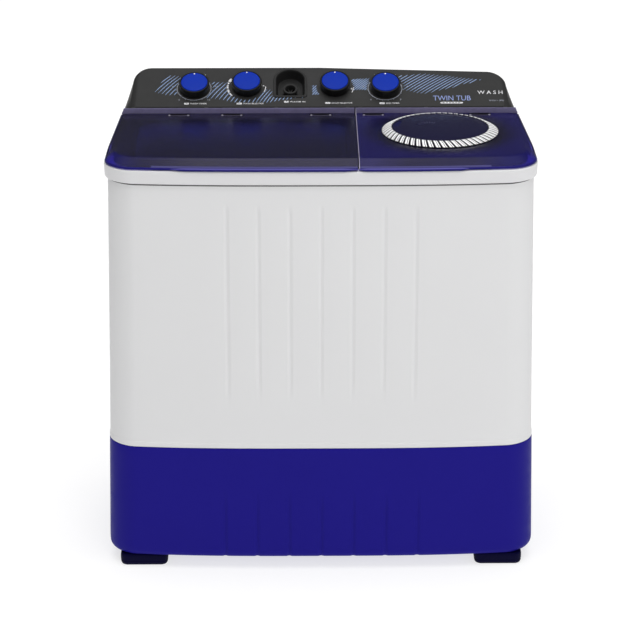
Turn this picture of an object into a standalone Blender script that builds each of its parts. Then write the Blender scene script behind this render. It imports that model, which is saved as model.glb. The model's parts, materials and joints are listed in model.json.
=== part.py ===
"""Twin tub washer: wash tub with pulsator on the left, spin basket on the right.

Units are metres in the scene; the drawing dimensions below are millimetres and
are scaled by MM when points are made.  X is to the right, Y to the back, Z up,
the floor is Z = 0.  The front of the machine faces -Y.
"""
import math

import bmesh
import bpy
from mathutils import Matrix, Vector

MM = 0.001

# ---------------------------------------------------------------- dimensions
Z_FOOT = 25.3            # top of the rubber feet
Z_BASE = 25.6            # underside of the base
Z_SEAM = 270.7           # top of the base
Z_CASE = 271.0           # bottom of the casing
Z_CASE_TOP = 833.0
Z_TRIM = 833.3           # bottom of the top frame
Z_TOP = 860.5            # top of the top frame
Z_LID = 880.0            # flat of both lids
WALL = 2.5

Y_BACK = 240.0           # back wall of casing and base
X_SPLIT = 72.5           # line between the two lids
LID_GAP = 1.2            # half the gap between the lids
LID_T = 3.0
Y_LID_BACK = 86.0        # foot of the lids' rear lip
Z_LID_LIP = 891.0
LIP_HALF = 404.5                         # outer ends of the lids' rear lips
LIP_FRONT_Y = -258.8

HINGE_Y, HINGE_Z = 92.5, 885.5
HINGE_R = 4.2            # knuckle
PIN_R = 1.6
HINGE_HOLE_R = 1.95
LUG_R = 3.2
LUG_W = 8.0
KNUCKLE_W = 44.0
WASH_KNUCKLES = (-290.0, -181.0, 2.0)
WASH_LUGS = (-386.0, -235.0, -90.0, 58.0)
SPIN_KNUCKLES = (110.5, 330.0)
SPIN_LUGS = (84.0, 220.0, 384.0)

FACE_Y, FACE_Z = 99.5, 889.8      # front edge of the console face
FACE_TILT = math.radians(27.2)
FACE_BACK_Y = 206.0
PANEL_T = 2.5
KNOB_UV = {                        # centre on the face, along X and up the slope
    "wash_timer": (-260.5, 56.0),
    "wash_selector": (-151.5, 60.0),
    "drain_selector": (32.0, 60.0),
    "spin_timer": (137.0, 55.5),
}
PORT_U, PORT_V0, PORT_V1, PORT_R = -61.0, 32.0, 112.0, 31.0
PORT_DEPTH = 24.0

WASH_C = (-161.0, -34.0)           # pulsator axis
SPIN_C = (241.7, -47.0)            # spin basket axis
MOTOR_C = (30.0, -34.0)            # wash motor axis
DRAIN_C = (-290.0, 60.0)
VENT_R = 118.0
CAP_R = 96.8
BRAKE_C = (301.0, 30.0)

FLUTES_TOP = [i * 62.4 for i in range(-3, 4)]
FLUTES_BASE = [i * 65.8 for i in range(-3, 4)]
FLUTE_HALF = 4.8
FLUTE_DEPTH = 3.0

# ------------------------------------------------------------------- colours
WHITE = (0.80, 0.80, 0.81)
BLUE = (0.045, 0.030, 0.42)
NAVY = (0.012, 0.010, 0.06)
LID_BLUE = (0.05, 0.04, 0.45)
CAP_BLUE = (0.03, 0.09, 0.62)
GRAPHITE = (0.045, 0.045, 0.045)
BLACK = (0.012, 0.012, 0.012)
SILVER = (0.72, 0.72, 0.73)
STEEL = (0.55, 0.55, 0.56)
TUB = (0.62, 0.66, 0.74)
RUBBER = (0.02, 0.02, 0.022)
GREY = (0.35, 0.35, 0.36)
BRASS = (0.6, 0.45, 0.2)


# ------------------------------------------------------------------ helpers
for old in list(bpy.data.objects):
    bpy.data.objects.remove(old, do_unlink=True)

PARTS = bpy.data.collections.new("twin_tub_washer")
CUTTERS = bpy.data.collections.new("cutters")
bpy.context.scene.collection.children.link(PARTS)
bpy.context.scene.collection.children.link(CUTTERS)


def material(name, rgb, rough=0.45, metal=0.0, alpha=1.0):
    m = bpy.data.materials.get(name) or bpy.data.materials.new(name)
    m.use_nodes = True
    b = m.node_tree.nodes["Principled BSDF"]
    b.inputs["Base Color"].default_value = (*rgb, 1.0)
    b.inputs["Roughness"].default_value = rough
    b.inputs["Metallic"].default_value = metal
    b.inputs["Alpha"].default_value = alpha
    m.diffuse_color = (*rgb, alpha)
    return m


def link(ob, collection=PARTS):
    collection.objects.link(ob)
    return ob


def from_bmesh(name, bm, mat=None, collection=PARTS):
    me = bpy.data.meshes.new(name)
    bmesh.ops.recalc_face_normals(bm, faces=bm.faces)
    bm.to_mesh(me)
    bm.free()
    ob = bpy.data.objects.new(name, me)
    if mat:
        me.materials.append(mat)
    return link(ob, collection)


def shade(ob, angle=35.0):
    me = ob.data
    me.shade_smooth()
    me.set_sharp_from_angle(angle=math.radians(angle))


def loft(name, loops, mat, cap_first=False, cap_last=False, closed=True, wrap=False, keep=False):
    """Skin a list of equal-length rings of (x, y, z) millimetre points."""
    bm = bmesh.new()
    rows = [[bm.verts.new((x * MM, y * MM, z * MM)) for x, y, z in ring] for ring in loops]
    n = len(rows[0])
    pairs = list(zip(rows, rows[1:]))
    if wrap:
        pairs.append((rows[-1], rows[0]))
    for a, b in pairs:
        for i in range(n if closed else n - 1):
            j = (i + 1) % n
            bm.faces.new((a[i], a[j], b[j], b[i]))
    if cap_first:
        bm.faces.new(tuple(reversed(rows[0])))
    if cap_last:
        bm.faces.new(tuple(rows[-1]))
    if keep:
        me = bpy.data.meshes.new(name)
        bm.to_mesh(me)
        bm.free()
        ob = bpy.data.objects.new(name, me)
        me.materials.append(mat)
        link(ob)
    else:
        ob = from_bmesh(name, bm, mat)
    shade(ob)
    return ob


def solidify(ob, thickness, offset=-1.0):
    m = ob.modifiers.new("wall", 'SOLIDIFY')
    m.thickness = thickness * MM
    m.offset = offset
    m.use_even_offset = True
    m.use_quality_normals = True
    return m


def bevel(ob, width, segments=1, angle=40.0):
    m = ob.modifiers.new("edge", 'BEVEL')
    m.width = width * MM
    m.segments = segments
    m.limit_method = 'ANGLE'
    m.angle_limit = math.radians(angle)
    return m


def turned(name, profile, mat, steps=32, at=(0.0, 0.0), base=None):
    """Closed (r, z) outline turned about Z; it is walked down its outer side."""
    area = sum(a[0] * b[1] - b[0] * a[1] for a, b in zip(profile, profile[1:] + profile[:1]))
    if area > 0.0:
        profile = profile[::-1]
    bm = bmesh.new()
    vs = [bm.verts.new((r * MM, 0.0, z * MM)) for r, z in profile]
    for a, b in zip(vs, vs[1:]):
        bm.edges.new((a, b))
    if profile[0][0] > 0.0 or profile[-1][0] > 0.0:
        bm.edges.new((vs[-1], vs[0]))
    me = bpy.data.meshes.new(name)
    bm.to_mesh(me)
    bm.free()
    ob = bpy.data.objects.new(name, me)
    me.materials.append(mat)
    link(ob)
    m = ob.modifiers.new("turn", 'SCREW')
    m.axis = 'Z'
    m.angle = 2.0 * math.pi
    m.screw_offset = 0.0
    m.steps = steps
    m.render_steps = steps
    m.use_merge_vertices = True
    m.merge_threshold = 0.00005
    m.use_smooth_shade = True
    ob.location = (at[0] * MM, at[1] * MM, 0.0)
    if base is not None:
        ob.parent = base
        ob.location = (0.0, 0.0, 0.0)
    return ob


def plate(name, outlines, z0, z1, mat, matrix=None, collection=PARTS):
    """Flat piece between z0 and z1 from an outer outline and its holes."""
    cu = bpy.data.curves.new(name, 'CURVE')
    cu.dimensions = '2D'
    cu.fill_mode = 'BOTH'
    cu.extrude = 0.5 * (z1 - z0) * MM
    for pts in outlines:
        sp = cu.splines.new('POLY')
        sp.points.add(len(pts) - 1)
        for p, (x, y) in zip(sp.points, pts):
            p.co = (x * MM, y * MM, 0.0, 1.0)
        sp.use_cyclic_u = True
    cu.materials.append(mat) if mat else None
    ob = link(bpy.data.objects.new(name, cu), collection)
    place = Matrix.Translation((0.0, 0.0, 0.5 * (z0 + z1) * MM))
    ob.matrix_world = (matrix or Matrix.Identity(4)) @ place
    return ob


def plate_mesh(name, outlines, z0, z1, mat, matrix=None, collection=PARTS):
    """The same, turned into a mesh so that it can carry booleans."""
    src = plate(name + "_src", outlines, z0, z1, mat, None, collection)
    bpy.context.view_layer.update()
    deps = bpy.context.evaluated_depsgraph_get()
    me = bpy.data.meshes.new_from_object(src.evaluated_get(deps))
    bm = bmesh.new()
    bm.from_mesh(me)
    bmesh.ops.remove_doubles(bm, verts=bm.verts, dist=1e-6)
    bm.transform((matrix or Matrix.Identity(4)) @ src.matrix_world)
    bpy.data.objects.remove(src, do_unlink=True)
    bm.to_mesh(me)
    bm.free()
    ob = bpy.data.objects.new(name, me)
    if mat:
        me.materials.clear()
        me.materials.append(mat)
    return link(ob, collection)


def tube(name, points, radius, mat, sides=4, spline='POLY'):
    cu = bpy.data.curves.new(name, 'CURVE')
    cu.dimensions = '3D'
    cu.bevel_depth = radius * MM
    cu.bevel_resolution = sides
    cu.use_fill_caps = True
    sp = cu.splines.new(spline)
    sp.points.add(len(points) - 1)
    for p, (x, y, z) in zip(sp.points, points):
        p.co = (x * MM, y * MM, z * MM, 1.0)
    cu.materials.append(mat)
    return link(bpy.data.objects.new(name, cu))


def block(name, size, at, mat, collection=PARTS, matrix=None):
    bm = bmesh.new()
    bmesh.ops.create_cube(bm, size=1.0)
    bm.transform(Matrix.Diagonal((size[0] * MM, size[1] * MM, size[2] * MM, 1.0)))
    bm.transform(Matrix.Translation((at[0] * MM, at[1] * MM, at[2] * MM)))
    if matrix is not None:
        bm.transform(matrix)
    return from_bmesh(name, bm, mat, collection)


def rod(name, r, z0, z1, at, mat=None, segments=24, collection=CUTTERS, matrix=None, axis='Z'):
    bm = bmesh.new()
    bmesh.ops.create_cone(bm, cap_ends=True, segments=segments, radius1=r * MM, radius2=r * MM,
                          depth=(z1 - z0) * MM)
    bm.transform(Matrix.Translation((0.0, 0.0, 0.5 * (z0 + z1) * MM)))
    if axis == 'X':
        bm.transform(Matrix.Rotation(math.radians(90.0), 4, 'Y'))
    if axis == 'Y':
        bm.transform(Matrix.Rotation(math.radians(-90.0), 4, 'X'))
    bm.transform(Matrix.Translation((at[0] * MM, at[1] * MM, at[2] * MM)))
    if matrix is not None:
        bm.transform(matrix)
    return from_bmesh(name, bm, mat, collection)


def boolean(ob, cutter, operation='DIFFERENCE'):
    m = ob.modifiers.new(operation.lower(), 'BOOLEAN')
    m.operation = operation
    m.solver = 'EXACT'
    m.object = cutter
    cutter.hide_render = True
    cutter.display_type = 'WIRE'
    return m


def smoothstep(a, b, x):
    t = min(1.0, max(0.0, (x - a) / (b - a)))
    return t * t * (3.0 - 2.0 * t)


# --------------------------------------------------------- plan outline rings
def fillet(p, a, b, r, n):
    """Arc of n + 1 points that rounds corner p between directions to a and b."""
    p, a, b = Vector(p), Vector(a), Vector(b)
    u, v = (a - p).normalized(), (b - p).normalized()
    half = 0.5 * u.angle(v)
    t = r / math.tan(half)
    c = p + (u + v).normalized() * (r / math.sin(half))
    s, e = p + u * t - c, p + v * t - c
    a0, a1 = math.atan2(s.y, s.x), math.atan2(e.y, e.x)
    d = (a1 - a0 + math.pi) % (2.0 * math.pi) - math.pi
    return [(c.x + r * math.cos(a0 + d * i / n), c.y + r * math.sin(a0 + d * i / n)) for i in range(n + 1)]


def plan(wf, wb, yc, yb, bow, rf, rb, xs, ys, nf=5, nb=4, back=(0.5, 0.0, -0.5)):
    """Anticlockwise outline: left front corner, front, right side, back, left side."""
    fl, fr, br, bl = (-wf, yc), (wf, yc), (wb, yb), (-wb, yb)

    def sag(x, y):
        k = min(1.0, max(0.0, (yc + rf - y) / rf))
        return (x, y - k * bow * (1.0 - abs(x / wf) ** 3))

    def side(y, sign):
        return (sign * (wf + (wb - wf) * (y - yc) / (yb - yc)), y)

    pts = [sag(*p) for p in fillet(fl, bl, fr, rf, nf)]
    pts += [sag(x, yc) for x in xs]
    pts += [sag(*p) for p in fillet(fr, fl, br, rf, nf)]
    pts += [side(y, 1.0) for y in ys]
    pts += fillet(br, fr, bl, rb, nb)
    pts += [(wb * k, yb) for k in back]
    pts += fillet(bl, br, fl, rb, nb)
    pts += [side(y, -1.0) for y in reversed(ys)]
    return pts


def case_plan(z, inset, xs, ys):
    """The casing and the base share one drafted shape, from the floor of the base to the top of the casing."""
    k = (Z_CASE_TOP - z) / (Z_CASE_TOP - Z_CASE)
    if k <= 1.0:
        wf, wb = 425.3 + 10.7 * k, 398.0 + 18.0 * k
        yc, bow = -232.5 + 3.5 * k, 18.0 + 3.0 * k
    else:
        q = (k - 1.0) * 562.0 / 241.0
        wf, wb = 436.0 + 5.5 * q, 416.0 + 6.0 * q
        yc, bow = -229.0 + 2.0 * q, 21.0 + 1.0 * q
    return plan(wf - inset, wb - inset, yc + inset, Y_BACK - inset, bow, 58.0 - inset, 40.0 - inset, xs, ys)


def trim_plan(o, xs, ys, **kw):
    return plan(431.8 - o, 406.5 - o, -238.0 + o, 244.0 - o, 18.0, 58.0 - o, 45.0 - o, xs, ys, **kw)


def trim_half(y, o=0.0):
    return 431.8 - o + (406.5 - 431.8) * (y + 238.0) / 482.0


# ---------------------------------------------------------------- face frame
def face_matrix(u, v, h=0.0):
    c, s = math.cos(FACE_TILT), math.sin(FACE_TILT)
    at = Vector((u, FACE_Y + v * c - h * s, FACE_Z + v * s + h * c)) * MM
    return Matrix.Translation(at) @ Matrix.Rotation(FACE_TILT, 4, 'X')


def face_empty(name, u, v):
    e = link(bpy.data.objects.new(name, None))
    e.matrix_world = face_matrix(u, v)
    e.empty_display_size = 0.02
    return e


# -------------------------------------------------------------- body shells
def fluted_rows(rows, flutes, depth_of):
    xs = sorted([f + d for f in flutes for d in (-FLUTE_HALF, 0.0, FLUTE_HALF)] + [-320.0, 320.0])
    nf = 5
    rings = []
    for z, inset in rows:
        ring = case_plan(z, inset, xs, (-120.0, 60.0))
        out = []
        for i, (x, y) in enumerate(ring):
            j = i - (nf + 1)
            if 0 <= j < len(xs) and any(abs(xs[j] - f) < 0.01 for f in flutes):
                y += FLUTE_DEPTH * depth_of(z)
            out.append((x, y, z))
        rings.append(out)
    return rings


def make_base():
    def depth(z):
        return smoothstep(185.0, 120.0, z) if z > 32.0 else 1.0
    rows = [(Z_BASE, 11.0), (29.0, 4.5), (37.0, 0.6), (120.0, 0.0), (185.0, 0.0), (Z_SEAM, 0.0)]
    ob = loft("base_shell", fluted_rows(rows, FLUTES_BASE, depth), material("base_blue", BLUE, 0.42), cap_first=True)
    solidify(ob, 3.0)
    cut = rod("cut_drain_spout", 16.5, 200.0, 300.0, (DRAIN_C[0], 0.0, 150.0), axis='Y', segments=20)
    boolean(ob, cut)
    return ob


def make_casing():
    def depth(z):
        return smoothstep(345.0, 420.0, z) if z < 600.0 else smoothstep(792.0, 780.0, z)
    rows = [(Z_CASE, 0.0), (281.0, 0.0), (282.6, 1.3), (345.0, 1.3), (420.0, 1.2), (780.0, 0.2), (792.0, 0.1),
            (Z_CASE_TOP, 0.0)]
    ob = loft("body_casing", fluted_rows(rows, FLUTES_TOP, depth), material("casing_white", WHITE, 0.38))
    solidify(ob, WALL)
    cut = block("cut_rear_opening", (600.0, 30.0, 460.0), (0.0, Y_BACK, 560.0), None, CUTTERS)
    boolean(ob, cut)
    gland = rod("cut_cord_gland", 9.6, 200.0, 260.0, (340.0, 0.0, 310.0), axis='Y', segments=16)
    boolean(ob, gland)
    return ob


def make_top_frame():
    xs = (-330.0, -220.0, -110.0, 0.0, 110.0, 220.0, 330.0)
    section = [(3.0, Z_TRIM), (0.6, 845.0), (0.0, 856.0), (1.0, 859.7), (2.6, Z_TOP), (26.0, Z_TOP), (26.0, 857.0),
               (7.5, 857.0), (7.5, Z_TRIM)]
    rings = [[(x, y, z) for x, y in trim_plan(o, xs, (-60.0, 90.0))] for o, z in section]
    ob = loft("top_frame", rings, material("frame_white", WHITE, 0.35), wrap=True)
    # dark rails that stand on the frame beside the lids
    for name, sign in (("side_rail_left", -1.0), ("side_rail_right", 1.0)):
        rings = []
        for y, o, z in ((-160.0, 11.4, 862.6), (-148.0, 9.8, 868.0), (-122.0, 7.6, 873.0), (-70.0, 5.8, 873.6),
                        (0.0, 5.0, 873.8), (98.9, 4.4, 874.0)):
            x0, x1 = trim_half(y, o), trim_half(y, 12.5)
            rings.append([(sign * x0, y, Z_TOP + 0.3), (sign * (x0 - 0.5), y, z - 1.0), (sign * (x0 - 1.5), y, z),
                          (sign * x1, y, z), (sign * x1, y, Z_TOP + 0.3)])
        loft(name, rings, material("rail_graphite", GRAPHITE, 0.4), cap_first=True, cap_last=True)
    return ob


def rounded_rect(x0, x1, y0, y1, r, n=5):
    pts = []
    for cx, cy, a in ((x0 + r, y0 + r, 180.0), (x1 - r, y0 + r, 270.0), (x1 - r, y1 - r, 0.0), (x0 + r, y1 - r, 90.0)):
        pts += [(cx + r * math.cos(math.radians(a + 90.0 * i / n)), cy + r * math.sin(math.radians(a + 90.0 * i / n)))
                for i in range(n + 1)]
    return pts


def circle(cx, cy, r, n=32):
    return [(cx + r * math.cos(2.0 * math.pi * i / n), cy + r * math.sin(2.0 * math.pi * i / n)) for i in range(n)]


def make_deck():
    outer = plan(411.0, 386.0, -222.0, 221.0, 18.0, 42.0, 29.0, (-330.0, -220.0, -110.0, 0.0, 110.0, 220.0, 330.0),
                 (-100.0, 80.0))
    wash = rounded_rect(-370.0, 50.0, -195.0, 62.0, 45.0)
    rear = rounded_rect(-350.0, 350.0, 112.0, 212.0, 12.0, 2)
    return plate("top_deck", [outer, wash, circle(*SPIN_C, 124.0, 40), rear], 862.4, 865.4,
                 material("deck_graphite", GRAPHITE, 0.5))


# --------------------------------------------------------------- console
def make_console():
    c, s = math.cos(FACE_TILT), math.sin(FACE_TILT)

    def face_z(y):
        return FACE_Z + (y - FACE_Y) * s / c

    def loop(w0, w1, y0, y1, rf, rb, zfun):
        pts = plan(w0, w1, y0, y1, 0.0, rf, rb, (-200.0, 0.0, 200.0), (130.0, 150.0), nf=2, nb=5)
        if y1 < FACE_BACK_Y + 8.0:
            pts = [(x, y - 13.0 * max(0.0, x) / 380.0 * smoothstep(140.0, y1, y)) for x, y in pts]
        return [(x, y, zfun(x, y)) for x, y in pts]

    low = loop(412.0, 404.5, FACE_Y, 228.0, 4.0, 34.0, lambda x, y: 866.0 if y < 104.0 else 861.2)
    mid = loop(411.0, 403.7, FACE_Y, 227.4, 4.0, 34.0, lambda x, y: 870.0)
    up1 = loop(392.0, 386.0, FACE_Y, FACE_BACK_Y + 5.0, 4.0, 34.0, lambda x, y: face_z(y) - 6.5)
    up2 = loop(383.0, 378.0, FACE_Y + 0.8, FACE_BACK_Y, 4.0, 30.0, lambda x, y: face_z(y) - 0.6)
    up3 = loop(377.0, 372.5, FACE_Y + 3.5, FACE_BACK_Y - 3.0, 3.0, 28.0, lambda x, y: face_z(y))
    ob = loft("console_housing", [low, mid, up1, up2, up3], material("console_graphite", GRAPHITE, 0.4), cap_last=True)
    solidify(ob, PANEL_T)
    for key, (u, v) in KNOB_UV.items():
        boolean(ob, rod("cut_" + key, 5.5, -8.0, 6.0, (0.0, 0.0, 0.0), matrix=face_matrix(u, v), segments=12))
    arch = port_outline(-2.3)
    boolean(ob, plate_mesh("cut_port", [arch], -12.0, 6.0, None, face_matrix(PORT_U, 0.0), CUTTERS))
    for i, x in enumerate(WASH_LUGS + SPIN_LUGS):
        nose = [(HINGE_Y + LUG_R * math.cos(math.radians(a)), HINGE_Z + LUG_R * math.sin(math.radians(a)))
                for a in range(90, 271, 30)]
        outline = nose + [(FACE_Y + 1.5, HINGE_Z - LUG_R), (FACE_Y + 1.5, HINGE_Z + LUG_R)]
        turn = Matrix(((0, 0, 1, 0), (1, 0, 0, 0), (0, 1, 0, 0), (0, 0, 0, 1)))
        lug = plate_mesh("lug_%d" % i, [outline], -0.5 * LUG_W, 0.5 * LUG_W, None,
                         Matrix.Translation((x * MM, 0.0, 0.0)) @ turn, CUTTERS)
        boolean(ob, lug, 'UNION')
        boolean(ob, rod("cut_lug_%d" % i, HINGE_HOLE_R, -LUG_W, LUG_W, (x, HINGE_Y, HINGE_Z), segments=12, axis='X'))
    return ob


def port_outline(o):
    """Arched outline in the face frame, (u, v) from the port's centre line."""
    r = PORT_R - o
    top = PORT_V1 - PORT_R
    n = 10
    pts = [(r * math.cos(math.pi * i / n), top + r * math.sin(math.pi * i / n)) for i in range(n + 1)]
    q = 6.0
    low = PORT_V0 + o
    pts += [(-r, low + q), (-r + q, low), (r - q, low), (r, low + q)]
    return pts


def make_port():
    rings = []
    for o, z in ((-5.5, 2.1), (0.0, 2.1), (0.8, 0.5), (3.0, 2.0 - PORT_DEPTH), (5.0, -PORT_DEPTH)):
        rings.append([(u, v, z) for u, v in port_outline(o)])
    ob = loft("inlet_pocket", rings, material("port_black", BLACK, 0.45), cap_last=True, keep=True)
    bm = bmesh.new()
    bm.from_mesh(ob.data)
    bmesh.ops.recalc_face_normals(bm, faces=bm.faces)
    bm.normal_update()
    floor = min(bm.faces, key=lambda f: f.calc_center_median().z)
    if floor.normal.z < 0.0:
        bmesh.ops.reverse_faces(bm, faces=bm.faces)
    bm.to_mesh(ob.data)
    bm.free()
    ob.matrix_world = face_matrix(PORT_U, 0.0)
    solidify(ob, 1.8)
    e = face_empty("frame_inlet_nozzle", PORT_U, PORT_V0 + 28.0)
    turned("inlet_nozzle", [(11.0, -23.6), (11.0, -5.5), (12.0, -4.5), (14.0, -4.5), (15.0, -5.5), (15.0, -10.0),
                            (13.8, -11.0), (13.8, -23.6)],
           material("port_black", BLACK, 0.45), 14, base=e)
    return ob


def make_knobs():
    skirt = [(0.0, -14.0), (4.0, -14.0), (4.0, 0.6), (30.6, 0.6), (30.9, 4.0), (31.7, 16.6), (30.6, 18.4),
             (28.1, 18.4), (28.1, 16.0), (0.0, 16.0)]
    cap = [(0.0, 16.3), (27.4, 16.3), (27.4, 18.6), (20.0, 20.0), (0.0, 20.6)]
    for key, (u, v) in KNOB_UV.items():
        e = face_empty("axis_" + key, u, v)
        turned(key + "_knob", skirt, material("knob_black", BLACK, 0.3), 20, base=e)
        turned(key + "_cap", cap, material("cap_blue", CAP_BLUE, 0.35), 20, base=e)


def make_controls():
    sizes = {"wash_timer": (62.0, 54.0, 36.0), "wash_selector": (42.0, 38.0, 26.0),
             "drain_selector": (36.0, 46.0, 24.0), "spin_timer": (56.0, 50.0, 32.0)}
    for key, (sx, sy, sz) in sizes.items():
        u, v = KNOB_UV[key]
        ob = block(key + "_unit", (sx, sy, sz), (0.0, 0.0, -2.9 - 0.5 * sz), material("unit_grey", GREY, 0.5))
        ob.matrix_world = face_matrix(u, v)
        bevel(ob, 3.0)
        cut = rod("cut_unit_" + key, 4.4, -18.0, 0.0, (0.0, 0.0, 0.0), matrix=face_matrix(u, v), segments=12)
        boolean(ob, cut)


# ------------------------------------------------------------------- tubs
def make_wash_tub():
    rows = [(-384.0, 64.0, -209.0, 76.0, 58.0, 861.8), (-376.0, 56.0, -201.0, 68.0, 50.0, 861.8),
            (-376.0, 56.0, -202.0, 68.0, 50.0, 828.0), (-378.0, 54.0, -206.0, 138.0, 60.0, 760.0),
            (-368.0, 46.0, -199.0, 133.0, 60.0, 420.0), (-357.0, 35.0, -190.0, 122.0, 54.0, 368.0),
            (-333.0, 11.0, -166.0, 98.0, 40.0, 347.0), (-326.0, 4.0, -159.0, 91.0, 36.0, 345.0)]
    rings = [[(x, y, z) for x, y in rounded_rect(x0, x1, y0, y1, r, 4)] for x0, x1, y0, y1, r, z in rows]
    ob = loft("wash_tub", rings, material("tub_plastic", TUB, 0.4), cap_last=True, keep=True)
    point_inwards(ob)
    solidify(ob, WALL)
    boolean(ob, rod("cut_tub_shaft", 14.2, 330.0, 360.0, (*WASH_C, 0.0)))
    boolean(ob, rod("cut_tub_drain", 17.0, 330.0, 360.0, (*DRAIN_C, 0.0)))
    return ob


def point_inwards(ob):
    """Normals of an open cup towards its inside, so that Solidify grows outwards."""
    bm = bmesh.new()
    bm.from_mesh(ob.data)
    bmesh.ops.recalc_face_normals(bm, faces=bm.faces)
    bm.normal_update()
    floor = min(bm.faces, key=lambda f: f.calc_center_median().z)
    if floor.normal.z < 0.0:
        bmesh.ops.reverse_faces(bm, faces=bm.faces)
    bm.to_mesh(ob.data)
    bm.free()


def polar(name, profile, n, mod, mat, at):
    """Solid of rings (r, z, gain) about Z; ring height is shifted by gain * mod(angle, r)."""
    bm = bmesh.new()
    rows = []
    for r, z, gain in profile:
        if r == 0.0:
            rows.append([bm.verts.new((0.0, 0.0, z * MM))] * n)
            continue
        row = []
        for i in range(n):
            a = 2.0 * math.pi * i / n
            row.append(bm.verts.new((r * math.cos(a) * MM, r * math.sin(a) * MM, (z + gain * mod(a, r)) * MM)))
        rows.append(row)
    for a, b in zip(rows, rows[1:]):
        for i in range(n):
            j = (i + 1) % n
            quad = []
            for v in (a[i], a[j], b[j], b[i]):
                if v not in quad:
                    quad.append(v)
            bm.faces.new(quad)
    ob = from_bmesh(name, bm, mat)
    shade(ob, 50.0)
    ob.location = (at[0] * MM, at[1] * MM, 0.0)
    return ob


def make_wash_drive():
    plastic = material("pulsator_blue", (0.10, 0.13, 0.45), 0.35)
    steel = material("bright_steel", STEEL, 0.3, 1.0)

    def vane(a, r):
        return max(0.0, math.cos(3.0 * (a + 0.004 * r))) ** 2

    polar("pulsator", [(0.0, 372.4, 0), (8.3, 372.4, 0), (8.3, 352.0, 0), (22.0, 352.0, 0), (24.0, 357.0, 0),
                       (126.0, 357.0, 0), (132.0, 354.0, 0), (137.0, 357.0, 0), (134.0, 361.0, 0), (112.0, 366.0, 6.0),
                       (78.0, 369.0, 16.0), (44.0, 374.0, 16.0), (22.0, 384.0, 6.0), (0.0, 392.0, 0)],
          24, vane, plastic, WASH_C)
    turned("pulsator_shaft", [(0.0, 256.0), (7.2, 256.0), (8.0, 257.0), (8.0, 372.0), (0.0, 372.0)], steel, 16, WASH_C)
    turned("shaft_housing", [(8.3, 349.5), (13.6, 349.5), (13.6, 342.1), (46.0, 342.1), (46.0, 337.0), (20.0, 334.0),
                             (18.0, 288.0), (8.3, 288.0)], material("housing_grey", (0.2, 0.2, 0.21), 0.5, 0.4), 16, WASH_C)
    turned("drive_pulley", [(8.3, 262.0), (22.0, 262.0), (22.0, 268.0), (72.0, 268.0), (80.0, 266.0), (80.0, 268.5),
                            (74.0, 270.0), (74.0, 282.0), (80.0, 283.5), (80.0, 286.0), (70.0, 285.0), (70.0, 272.0),
                            (22.0, 272.0), (22.0, 284.0), (8.3, 284.0)], material("pulley_white", (0.6, 0.6, 0.6), 0.4), 24, WASH_C)
    turned("motor_pulley", [(0.0, 247.0), (6.0, 247.0), (6.0, 262.0), (22.0, 265.0), (22.0, 268.5), (18.0, 270.0),
                            (18.0, 282.0), (22.0, 283.5), (22.0, 287.0), (0.0, 287.0)],
           material("pulley_metal", STEEL, 0.35, 1.0), 16, MOTOR_C)
    # belt: tangent loop round both pulleys
    d = math.hypot(MOTOR_C[0] - WASH_C[0], MOTOR_C[1] - WASH_C[1])

    def loop(r1, r2, n1=20, n2=10):
        phi = math.acos((r1 - r2) / d)
        big = [(WASH_C[0] + r1 * math.cos(phi + (2.0 * math.pi - 2.0 * phi) * i / n1),
                WASH_C[1] + r1 * math.sin(phi + (2.0 * math.pi - 2.0 * phi) * i / n1)) for i in range(n1 + 1)]
        small = [(MOTOR_C[0] + r2 * math.cos(-phi + 2.0 * phi * i / n2),
                  MOTOR_C[1] + r2 * math.sin(-phi + 2.0 * phi * i / n2)) for i in range(n2 + 1)]
        return big + small

    plate("drive_belt", [loop(80.2, 24.2), loop(75.4, 19.2)], 271.5, 280.5, material("belt_rubber", RUBBER, 0.7))
    can = material("motor_grey", (0.25, 0.26, 0.27), 0.45, 0.6)
    turned("wash_motor", [(0.0, 124.0), (50.0, 124.0), (56.0, 130.0), (56.0, 168.0), (52.0, 170.0), (52.0, 196.0),
                          (56.0, 198.0), (56.0, 232.0), (48.0, 240.0), (18.0, 242.0), (16.0, 246.4), (0.0, 246.4)],
           can, 18, MOTOR_C)
    # sheet stand under the motor
    w, h0, h1, t = 66.0, 29.2, 123.6, 4.0
    u = [(-w, h0), (-w, h1), (w, h1), (w, h0), (w - t, h0), (w - t, h1 - t), (-w + t, h1 - t), (-w + t, h0)]
    stand = Matrix.Translation((MOTOR_C[0] * MM, MOTOR_C[1] * MM, 0.0)) @ Matrix.Rotation(math.radians(90.0), 4, 'X')
    plate("motor_stand", [u], -45.0, 45.0, material("zinc_steel", (0.5, 0.5, 0.48), 0.4, 1.0), stand)


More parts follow.
